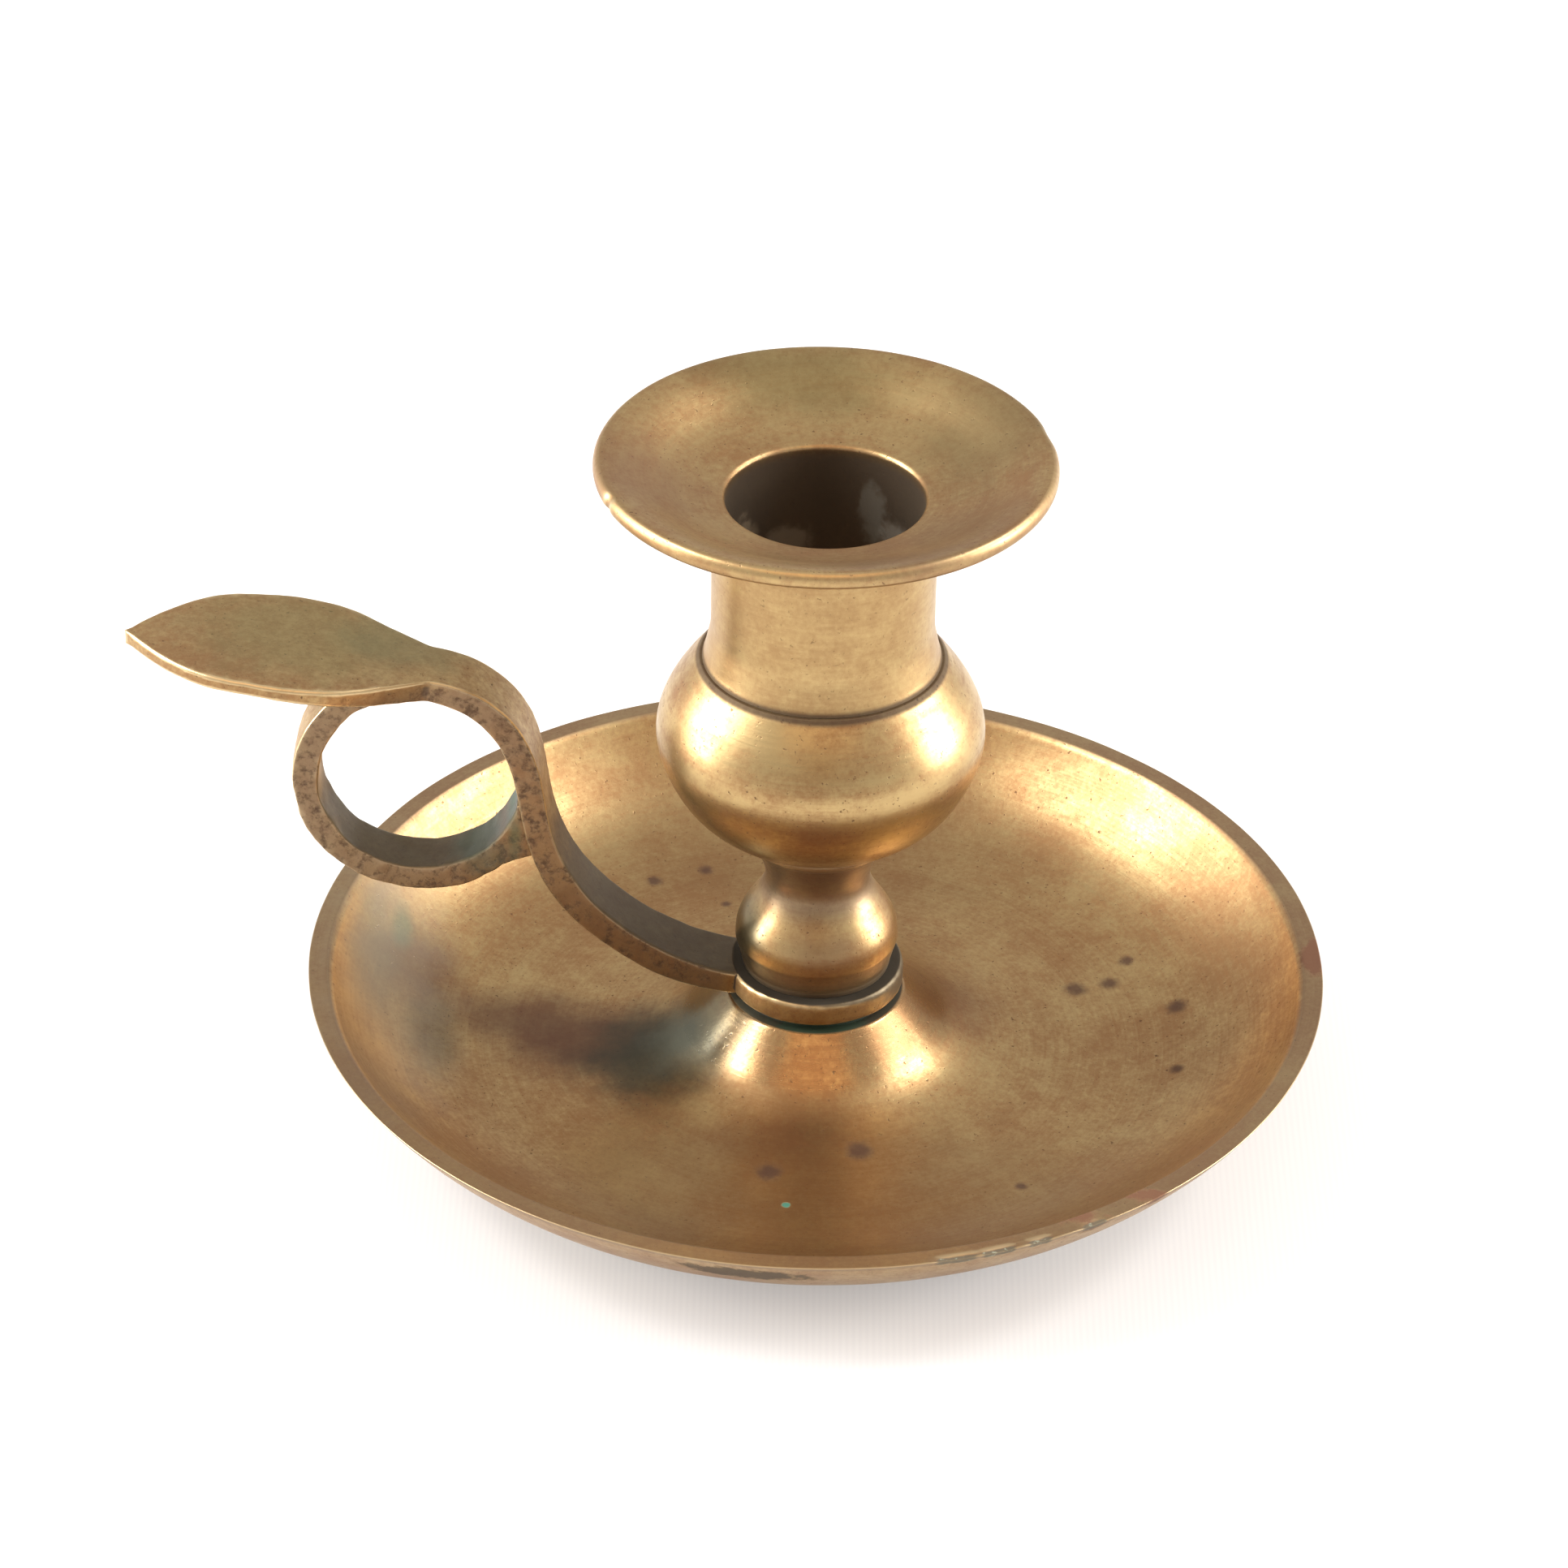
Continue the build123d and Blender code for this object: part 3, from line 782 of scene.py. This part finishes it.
pan_outline = (
    Outline(3.2, 11.3)
    .line((9.2, 11.3), (9.25, 10.6), CONE_TOP)
    .curve((13.3, 7.6), (16.3, 5.2), (20.2, 3.6), (25.0, 2.75), CONE_FOOT, leave=(1, -1.0), arrive=(1, 0))
    .line(FLOOR_EDGE)
    .arc(RIM_BREAK, DISH_CENTRE)
    .line((57.7, RIM_TOP), (60.0, RIM_TOP))
    .arc((41.5, 0.0), WALL_CENTRE)
    .line(FOOT_INNER)
    .arc(UNDER_SPOT, flat_arc_centre(FOOT_INNER, UNDER_SPOT))
    .line((3.2, 7.4), (3.2, 11.3))
    .settle(soften=0.12, coarse=1.2, fine=0.07)
)
pan = turn_piece("drip_pan_spun", pan_outline, PAN_BRASS, steps=420, wobble=0.16, seed=4.0)

# Each chip has an angle and a half width in degrees and a depth in millimetres.
RIM_CHIPS = (
    (-76.2, 1.0, 0.3), (-73.9, 1.5, 0.45), (-71.2, 0.8, 0.35), (-69.3, 1.4, 0.4),
    (-65.8, 0.9, 0.3), (-64.2, 0.7, 0.35), (-58.6, 1.6, 0.2),
)
CHIP_DIRECTION = np.array((0.0, -0.6, 0.8))
pan_points = read_points(pan.data)
pan_angle, pan_reach = angle_and_reach(pan_points)
on_edge = between(pan_reach, 59.0, 59.7) * between(pan_points[:, 2] / MM, 11.6, 13.0)
chipped = np.zeros(len(pan_points))
for angle, half_width, depth in RIM_CHIPS:
    nearby = np.exp(-(((pan_angle - angle) / half_width) ** 4)) * on_edge
    chipped = np.maximum(chipped, nearby)
    pan_points -= (nearby * depth * MM)[:, None] * CHIP_DIRECTION
write_points(pan.data, pan_points)
mark_wear(pan)
store(pan.data, "chipped", chipped)

# %% [markdown]
# ## The baluster stem
#
# Turned from one bar: a foot, a small bulb that starts at a faint edge, a hollow neck, a bead, and the big
# bulb. The outline starts on the axis at the top of the stud's hole and ends on the axis in the seat for
# the candle socket, so the piece is a closed solid.

# %% Turn the stem
stem_finish = aged_brass("stem_brass", brown=0.45, roughness=0.33, ring_spacing=0.3, seed=11.0, banded=1.2)
# A darker, greyer band round the hollow neck, from 22.5 to 36.5 mm up.
darker_neck_band = stem_finish.z.step(22.5, 25.5) * stem_finish.z.step(36.5, 32.0)
stem_finish.lay(darker_neck_band * 0.6, (0.2, 0.15, 0.115, 1), 0.45, 0.8)
foot_film = stem_finish.z.step(18.3, 17.2)
stem_finish.lay(foot_film * 0.45, (0.42, 0.33, 0.24, 1), 0.42, 0.9)
seat_line = stem_finish.radius.step(13.3, 13.9) * stem_finish.z.step(55.4, 55.9)
stem_finish.lay(seat_line * 0.8, OLD_DIRT, 0.7, 0.3)
foot_line = stem_finish.z.step(15.3, 14.5)
stem_finish.lay(foot_line * 0.75, (0.045, 0.03, 0.02, 1), 0.6, 0.4)
# The dark brown blot on the front of the big bulb is partly tarnish and partly a painted reflection of the
# dim room in front.
bulb_blot_and_dark_reflection = stem_finish.patch((0.5, -18, 43.5), (3.5, 3, 1.6), 0.6, 2.5, 6.0, 1.2)
stem_finish.lay(bulb_blot_and_dark_reflection * 0.5, (0.22, 0.11, 0.06, 1), 0.4, 0.9)
# The darker brown patch on the front of the small bulb is a painted reflection of the dim room in front.
small_bulb_dark_reflection = stem_finish.patch((0.5, -9, 20.3), (4.2, 3, 2.6), 0.4, 2.5, 9.0, 1.2)
stem_finish.lay(small_bulb_dark_reflection * 0.55, (0.27, 0.165, 0.095, 1), 0.4, 0.9)
# The dark green-grey patch on the small bulb's left is a painted reflection of the stain in the pan beside
# it.
small_bulb_stain_reflection = stem_finish.patch((-9, -3, 20), (3.2, 6, 4), 0.3, 3.0, 8.0, 1.0)
stem_finish.lay(small_bulb_stain_reflection * 0.7, (0.13, 0.13, 0.09, 1), 0.3, 0.95)
STEM_BRASS = stem_finish.done()
stem_outline = (
    Outline(0.0, 25.0)
    .line((3.0, 25.0), (3.0, 14.2), (8.7, 14.2))
    .curve((9.05, 15.9), (9.6, 17.8), leave=(0.1, 1), arrive=(0.35, 1))
    .curve((9.45, 19.5), (8.5, 21.7), (6.95, 24.1), leave=(-0.05, 1), arrive=(-0.55, 1))
    .curve((6.15, 26.3), (6.7, 28.9), (8.1, 31.5), leave=(-0.55, 1), arrive=(0.6, 0.8))
    .curve((8.95, 32.2), (9.05, 32.9), (8.7, 33.5), leave=(1, 0.3), arrive=(-0.8, 0.5))
    .curve((10.8, 34.2), (13.4, 35.8), (15.9, 38.3), (17.8, 41.6), (19.0, 46.5), (17.7, 51.1), (14.1, 56.2))
    .line((10.0, 56.2), (10.0, 52.2), (0.0, 52.2))
    .settle(soften=0.09, coarse=0.8, fine=0.05)
)
stem = turn_piece("baluster_stem_turned", stem_outline, STEM_BRASS, steps=320, wobble=0.05, seed=12.0)
mark_wear(stem)

# %% [markdown]
# ## The candle socket
#
# A cup with a wide dished flange, sunk into the top of the big bulb by a short spigot. The candle's bore is
# rounded over at the mouth and flat at the bottom, and old wax clings to its wall. The flange's edge has a
# flat knock behind on the right and a small nick in front on the left.

# %% Turn the socket
socket_finish = aged_brass("socket_brass", brown=0.6, roughness=0.36, ring_spacing=0.35, seed=21.0)
polished_tube = socket_finish.radius.step(14.5, 13.2) * socket_finish.z.step(76.0, 74.0)
socket_finish.lay(polished_tube * 0.35, GOLD_BRASS, 0.3, 1.0)
for centre, size, colour, strength in (
    ((-20, -2, 80), (7, 8, 5), (0.27, 0.145, 0.08, 1), 0.6),
    ((-4, 21, 81), (12, 5, 4), (0.20, 0.165, 0.07, 1), 0.55),
    ((18, 9, 80), (7, 9, 5), (0.21, 0.15, 0.07, 1), 0.6),
    ((14, -12, 80), (8, 7, 5), (0.25, 0.15, 0.08, 1), 0.5),
    ((8, -21, 81), (9, 4, 4), (0.22, 0.13, 0.08, 1), 0.5),
):
    tarnish = socket_finish.patch(centre, size, 0.6, 5.0, centre[0], 1.4) * strength
    socket_finish.lay(tarnish, colour, 0.4, 0.9)
foot_dirt = socket_finish.z.step(57.0, 56.4) * socket_finish.radius.step(12.5, 13.2)
socket_finish.lay(foot_dirt * 0.8, OLD_DIRT, 0.7, 0.3)
# Darker grey-brown inside the bore, below its mouth.
darker_bore = (socket_finish.radius.step(12.1, 11.3)) * (socket_finish.z.step(77.6, 75.5))
socket_finish.lay(darker_bore * 0.92, (0.18, 0.14, 0.105, 1), 0.38, 0.75)
for centre, size, colour, strength in (
    ((-4.5, 10.4, 65.0), (3.6, 2.5, 2.0), (0.42, 0.37, 0.29, 1), 0.4),
    ((5.5, 10.0, 69.5), (1.6, 2.5, 3.8), (0.28, 0.30, 0.27, 1), 0.35),
    ((8.2, 7.8, 66.0), (2.4, 3.0, 3.0), (0.40, 0.38, 0.33, 1), 0.4),
    ((-9.0, 6.6, 67.0), (1.4, 3.0, 3.0), (0.45, 0.36, 0.24, 1), 0.4),
):
    wax = socket_finish.patch(centre, size, 0.9, 1.8, centre[0], 0.6) * darker_bore * strength
    socket_finish.lay(wax, colour, 0.5, 0.0)
SOCKET_BRASS = socket_finish.done()
socket_outline = (
    Outline(0.0, 52.2)
    .line((10.0, 52.2), (10.0, 56.2), (13.8, 56.2))
    .curve((13.2, 58.4), (12.8, 61.0), leave=(-0.5, 1), arrive=(0, 1))
    .line((12.8, 73.0))
    .curve((16.4, 77.2), (25.9, 80.5), leave=(0, 1), arrive=(1, 0.22))
    .curve((26.2, 81.3), (25.5, 82.35), leave=(1, 0.6), arrive=(-1, 0.25))
    .curve((24.6, 82.25), (18.5, 79.45), (11.85, 77.3), leave=(-1, 0.1), arrive=(-1, -0.25))
    .curve((11.35, 76.7), leave=(-1, -0.25), arrive=(0, -1))
    .line((11.35, 57.4), (0.0, 57.4))
    .settle(soften=0.09, coarse=0.8, fine=0.05)
)
socket = turn_piece("candle_socket_turned", socket_outline, SOCKET_BRASS, steps=360, wobble=0.09, seed=22.0)

# Each knock has an angle and a half width in degrees and a depth in millimetres.
FLANGE_KNOCKS = ((14.0, 5.0, 0.24), (-158.0, 1.4, 0.22))
FLANGE_RADIUS = 26.0
socket_points = read_points(socket.data)
socket_angle, socket_reach = angle_and_reach(socket_points)
at_flange_edge = between(socket_reach, 24.0, FLANGE_RADIUS)
for angle, half_width, depth in FLANGE_KNOCKS:
    nearby = np.exp(-(((socket_angle - angle) / half_width) ** 2)) * at_flange_edge
    socket_points[:, :2] *= 1 - (nearby * depth / FLANGE_RADIUS)[:, None]
write_points(socket.data, socket_points)
mark_wear(socket)

# %% [markdown]
# ## The handle
#
# A flat bar was cast with a round eye at one end and a leaf for the thumb at the other, bent into an S and
# filed by hand. Its shape follows a rule, a small rounded rectangle carried along a bent line, so it is
# lofted: the top and the underside are two curves, each point of the top is paired with the nearest point
# below, and the width widens into the leaf. The eye is turned, and the two are joined by a boolean.

# %% Lofting
CORNER_TURNS = 4


def rounded_section(half_width, half_height, corner, across=(0.35, 0.7, 0.9), up=(0.5,)):
    """Points round a rounded rectangle, anticlockwise, as sideways and upward distances."""
    corner = min(corner, half_width * 0.45, half_height * 0.8)
    flat, tall = half_width - corner, half_height - corner
    points = []
    for sx, sy, start in ((1, 1, 0.0), (-1, 1, 0.5), (-1, -1, 1.0), (1, -1, 1.5)):
        for k in range(CORNER_TURNS + 1):
            angle = math.pi * (start + 0.5 * k / CORNER_TURNS)
            points.append((sx * flat + corner * math.cos(angle), sy * tall + corner * math.sin(angle)))
        if start in (0.0, 1.0):
            steps = [sx * f for f in across[::-1]] + [0.0] + [-sx * f for f in across]
            points += [(s * flat, sy * half_height) for s in steps]
        else:
            steps = [sy * f for f in up[::-1]] + [0.0] + [-sy * f for f in up]
            points += [(sx * half_width, s * tall) for s in steps]
    return np.array(points)


def loft(name, sections, material):
    """A closed skin over rings of points in millimetres, all with the same count."""
    rings, count = len(sections), len(sections[0])
    points = np.concatenate(sections) * MM
    faces = []
    for i in range(rings - 1):
        for j in range(count):
            k = (j + 1) % count
            faces.append((i * count + j, i * count + k, (i + 1) * count + k, (i + 1) * count + j))
    faces.append(tuple(range(count))[::-1])
    faces.append(tuple((rings - 1) * count + j for j in range(count)))
    mesh = bpy.data.meshes.new(name)
    mesh.from_pydata(points.tolist(), [], faces)
    mesh.materials.append(material)
    close_and_orient(mesh)
    mesh.polygons.foreach_set("use_smooth", [True] * len(mesh.polygons))
    return link_object(name, mesh)


def hand_filed(piece, depth, size, seed):
    """Push each vertex in or out a little, as a file leaves a surface."""
    mesh = piece.data
    points = read_points(mesh)
    offset = Vector((seed, seed * 1.7, 0))
    amount = [noise.noise(Vector(p) / (size * MM) + offset) for p in points]
    write_points(mesh, points + read_normals(mesh) * np.array(amount)[:, None] * depth * MM)


# %% The strap and leaf
handle_finish = aged_brass("handle_brass", brown=0.55, roughness=0.42, turned=False, seed=31.0)
soot = handle_finish.attribute("sheltered") * (0.6 + handle_finish.speckle(2.5, 4.0, 0.6, 33.0) * 0.7)
handle_finish.lay(soot.step(0.05, 0.95) * 0.85, (0.075, 0.066, 0.05, 1), 0.5, 0.7)
# The flat sides of the strap and loop, which face front and back, turn a darker reddish brown: their own
# tone together with painted shade on the side faces.
sideways = handle_finish.facing(1)
flank_tone_and_shade = sideways.maths("ABSOLUTE", sideways).step(0.6, 0.9) * handle_finish.z.step(55.5, 52.0)
flank_tone_and_shade = flank_tone_and_shade * handle_finish.radius.step(10.6, 12.5)
handle_finish.lay(flank_tone_and_shade * 0.7, (0.22, 0.15, 0.102, 1), 0.5, 0.8)
rough_spots = handle_finish.speckle(1.1, 5.0, 0.75, 35.0).step(0.47, 0.66)
handle_finish.lay(rough_spots * (flank_tone_and_shade * 0.6 + 0.15), (0.085, 0.05, 0.033, 1), 0.6, 0.6, -0.03)
for centre, size, colour, strength in (
    ((-60, 2, 57), (12, 9, 4), (0.22, 0.19, 0.08, 1), 0.5),
    ((-48, 3, 55), (7, 5, 4), (0.19, 0.18, 0.09, 1), 0.5),
    ((-38.5, 0, 29.5), (4, 5, 3), (0.08, 0.13, 0.10, 1), 0.45),
    ((-35.3, 0, 33.0), (0.9, 5, 3.2), VERDIGRIS, 0.5),
):
    tint = handle_finish.patch(centre, size, 0.6, 3.0, centre[0], 1.0) * strength
    handle_finish.lay(tint, colour, 0.45, 0.8)
collar_top = handle_finish.radius.step(10.05, 9.85) * handle_finish.z.step(13.8, 14.0)
collar_top = collar_top * handle_finish.x.step(-10.2, -9.6)
handle_finish.lay(collar_top * 0.95, (0.032, 0.026, 0.018, 1), 0.9, 0.1, -0.05)
HANDLE_BRASS = handle_finish.done()

EYE_TOP = 14.2
NECK = (-45.0, 54.1)
LEAF_TIP_X = -79.8
STRAP_HALF_WIDTH = 3.95
STRAP_CORNER = 0.32
LEAF_CORNER_MORE = 0.16
UNDER_NECK = (-45.0, 51.3)
TOP_STOPS = ((-9.0, EYE_TOP - 0.05), (-17.4, 17.0), (-26.2, 24.1), (-30.9, 33.2), (-32.1, 40.5))
TOP_STOPS = (*TOP_STOPS, (-34.6, 47.6), (-39.4, 52.2), NECK)
UNDER_STOPS = ((-9.0, 11.35), (-16.3, 12.9), (-23.4, 17.0), (-29.7, 23.1), (-34.0, 32.5))
UNDER_STOPS = (*UNDER_STOPS, (-35.0, 38.8), (-36.6, 44.6), (-40.2, 49.2), UNDER_NECK)
LEAF_STOPS = ((-49.0, 6.3), (-54.5, 9.2), (-62.5, 10.3), (-71.5, 8.1))
strap_top = smooth_curve(TOP_STOPS, (-1, 0.12), (-1, 0.16), 0.2)
leaf_top = smooth_curve([NECK, (-62.0, 56.9), (LEAF_TIP_X, 58.0)], (-1, 0.16), (-1, 0.02), 0.2)
top_line = np.concatenate(([(-7.0, EYE_TOP - 0.06)], strap_top, leaf_top[1:]))
strap_under = smooth_curve(UNDER_STOPS, step=0.05)
leaf_under = smooth_curve([UNDER_NECK, (-62.0, 55.1), (LEAF_TIP_X, 56.2)], (-1, 0.18), (-1, 0.02), 0.05)
under_line = np.concatenate(([(-7.0, 11.4)], strap_under, leaf_under[1:]))
leaf_plan = smooth_curve([(NECK[0], STRAP_HALF_WIDTH), *LEAF_STOPS, (LEAF_TIP_X, 0.05)])


def handle_half_width(x):
    """Half the handle's width: even along the strap, then the leaf's outline."""
    if x > NECK[0]:
        return STRAP_HALF_WIDTH
    order = np.argsort(leaf_plan[:, 0])
    return float(np.interp(x, leaf_plan[order, 0], leaf_plan[order, 1]))


handle_sections = []
for number, top in enumerate(top_line):
    below = under_line[np.argmin(np.linalg.norm(under_line - top, axis=1))]
    middle = (top + below) / 2
    upward = (top - below) / np.linalg.norm(top - below)
    half = handle_half_width(top[0]) + 0.1 * noise.noise(Vector((number * 0.045, 5.0, 0)))
    corner = STRAP_CORNER + LEAF_CORNER_MORE * min(1.0, max(0.0, (NECK[0] - top[0]) / 6.0))
    ring = rounded_section(max(half, 0.04), np.linalg.norm(top - below) / 2, corner)
    x, z = [middle[k] + upward[k] * ring[:, 1] for k in (0, 1)]
    handle_sections.append(np.stack((x, ring[:, 0], z), 1))
strap = loft("handle_strap_cast", handle_sections[::2] + handle_sections[-1:], HANDLE_BRASS)

eye_outline = (
    Outline(3.2, 11.3)
    .line((9.9, 11.3))
    .curve((10.3, 12.75), (9.9, 14.2), leave=(1, 0.4), arrive=(-1, 0.4))
    .line((3.2, 14.2), (3.2, 11.3))
    .settle(soften=0.09, coarse=0.8, fine=0.08)
)
eye = turn_piece("handle_eye", eye_outline, HANDLE_BRASS, steps=192, wobble=0.08, seed=33.0)
union = strap.modifiers.new("join", "BOOLEAN")
union.operation = "UNION"
union.solver = "EXACT"
union.object = eye
print("open edges after the union:", apply_modifiers(strap))
bpy.data.objects.remove(eye)
hand_filed(strap, 0.10, 6.0, 3.0)
hand_filed(strap, 0.045, 1.4, 8.0)
mark_wear(strap, 0.035, 0.10, 1)


def strap_shelter(points, normals):
    """The inside of the S, which faces the stem and the sky, up to its second bend."""
    facing = between(normals @ np.array((0.65, 0, 0.75)), 0.35, 0.75)
    return facing * between(points[:, 2], 46, 24) + 0.25 * between(points[:, 2], 30, 15)


mark_sheltered(strap, strap_shelter)

# %% [markdown]
# ## The finger loop
#
# A flat ring bent from bar and brazed under the leaf and against the strap. It is the same loft, carried
# round part of a circle. Both ends run into the handle: the top one thins out along the leaf's underside,
# and the lower one flares into a little foot.

# %% Loft the finger loop
LOOP_CENTRE = (-46.3, 39.8)
LOOP_INNER = 11.7
LOOP_HALF_WIDTH = 3.2
loop_angles = np.arange(88.0, 346.0, 1.6)
loop_outer = np.interp(
    loop_angles,
    (88, 100, 112, 124, 310, 317, 323, 331, 346),
    (13.0, 13.5, 14.4, 14.7, 14.7, 15.3, 16.4, 16.0, 14.4),
)
loop_sections = []
for angle, outer in zip(loop_angles, loop_outer):
    turn = math.radians(angle)
    wander = 0.22 * noise.noise(Vector((angle * 0.05, 9.0, 0)))
    ring = rounded_section(LOOP_HALF_WIDTH + 0.5 * wander, (outer - LOOP_INNER + wander) / 2, 0.3)
    middle = (outer + LOOP_INNER) / 2
    away = middle + ring[:, 1]
    x = LOOP_CENTRE[0] + math.cos(turn) * away
    z = LOOP_CENTRE[1] + math.sin(turn) * away
    loop_sections.append(np.stack((x, ring[:, 0], z), 1))
loop = loft("finger_loop_brazed", loop_sections, HANDLE_BRASS)
hand_filed(loop, 0.15, 3.6, 21.0)
hand_filed(loop, 0.08, 1.2, 25.0)
mark_wear(loop, 0.035, 0.10, 1)


def loop_shelter(points, normals):
    """The inside of the ring, most of all at the bottom."""
    inward = np.stack((LOOP_CENTRE[0] - points[:, 0], 0 * points[:, 1], LOOP_CENTRE[1] - points[:, 2]), 1)
    inward /= np.linalg.norm(inward, axis=1)[:, None]
    facing = between((inward * normals).sum(1), 0.4, 0.8)
    return facing * (0.45 + 0.55 * between(points[:, 2], 44, 34))


mark_sheltered(loop, loop_shelter)

# %% [markdown]
# ## Stud, washer and nut
#
# A threaded stud comes down from the stem through the eye and the pan, and a washer and a nut pull it
# tight from below. The thread is pressed into the turned stud by a rule: the depth follows the height less
# the turn round the axis, which is what makes it a screw and not a set of rings. The CAD nut is already the
# right shape, so it stays and only gets its finish.

# %% Fixings
FIXING_BRASS = aged_brass("fixing_brass", brown=0.7, roughness=0.45, ring_spacing=0.3, seed=41.0).done()
STUD_SIDE = 2.5
THREAD_PITCH = 0.8
THREAD_DEPTH = 0.35
THREAD_TOP = 9.0

stud_outline = (
    Outline(0.0, 1.4)
    .line((2.6, 1.4), (3.0, 1.8), (3.0, 23.8), (2.6, 24.2), (0.0, 24.2))
    .settle(soften=0.06, coarse=0.11, fine=0.06)
)
stud = turn_piece("stem_stud_threaded", stud_outline, FIXING_BRASS, steps=64, wobble=0.02, seed=42.0)
stud_points = read_points(stud.data)
stud_radius = np.linalg.norm(stud_points[:, :2], axis=1)
stud_turn = np.arctan2(stud_points[:, 1], stud_points[:, 0]) / math.tau
phase = (stud_points[:, 2] / MM / THREAD_PITCH - stud_turn) % 1.0
groove = THREAD_DEPTH * MM * (1 - np.abs(2 * phase - 1)) * (stud_points[:, 2] < THREAD_TOP * MM)
on_side = stud_radius > STUD_SIDE * MM
scale = np.where(on_side, 1 - groove / np.maximum(stud_radius, 1e-6), 1.0)
stud_points[:, :2] *= scale[:, None]
write_points(stud.data, stud_points)
mark_wear(stud)

washer_outline = (
    Outline(3.2, 6.2)
    .line((8.2, 6.2), (8.2, 7.4), (3.2, 7.4), (3.2, 6.2))
    .settle(soften=0.08, coarse=0.8, fine=0.06)
)
washer = turn_piece("base_washer_cut", washer_outline, FIXING_BRASS, steps=128, wobble=0.05, seed=43.0)
mark_wear(washer)
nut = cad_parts["base_nut"]
nut.data.materials.clear()
nut.data.materials.append(FIXING_BRASS)

# %% [markdown]
# ## The table
#
# A plain white cloth, lit until it is nearly paper white, so only the soft shadow beside the pan gives it
# away. A faint vertical rib stands for the weave. A darker colour in the Principled shader would do for the
# cloth alone, but not for its shadow: a weak emission lightens that, as light through thin cloth would.

# %% Table
cloth = Finish("white_cloth", (0.55, 0.55, 0.55, 1), 0.9)
cloth.metal = 0.0
RIB_SPACING = 0.75
rib = cloth.number("ShaderNodeMath", {"operation": "SINE"}, {0: cloth.x * (math.tau / RIB_SPACING)})
cloth.colour = cloth.mixed(rib * 0.5 + 0.5, (0.57, 0.57, 0.57, 1), (0.54, 0.54, 0.545, 1))
CLOTH_GLOW = 0.34
TABLE_HALF = 3.0
TABLE_TOP = -0.1 * MM
CLOTH = cloth.done()
cloth_shader = [n for n in CLOTH.node_tree.nodes if n.type == "BSDF_PRINCIPLED"][0]
cloth_shader.inputs["Emission Color"].default_value = (1, 1, 1, 1)
cloth_shader.inputs["Emission Strength"].default_value = CLOTH_GLOW
table = square_sheet("table", [(x * TABLE_HALF, y * TABLE_HALF, TABLE_TOP) for x, y in SQUARE], CLOTH)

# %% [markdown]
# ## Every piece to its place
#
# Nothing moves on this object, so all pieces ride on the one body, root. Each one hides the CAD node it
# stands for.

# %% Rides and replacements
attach(pan, "root")
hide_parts("drip_pan")
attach(stem, "root")
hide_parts("baluster_stem")
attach(socket, "root")
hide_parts("candle_socket")
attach(strap, "root")
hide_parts("handle_strap")
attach(loop, "root")
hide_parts("finger_loop")
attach(stud, "root")
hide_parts("stem_stud")
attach(washer, "root")
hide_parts("base_washer")
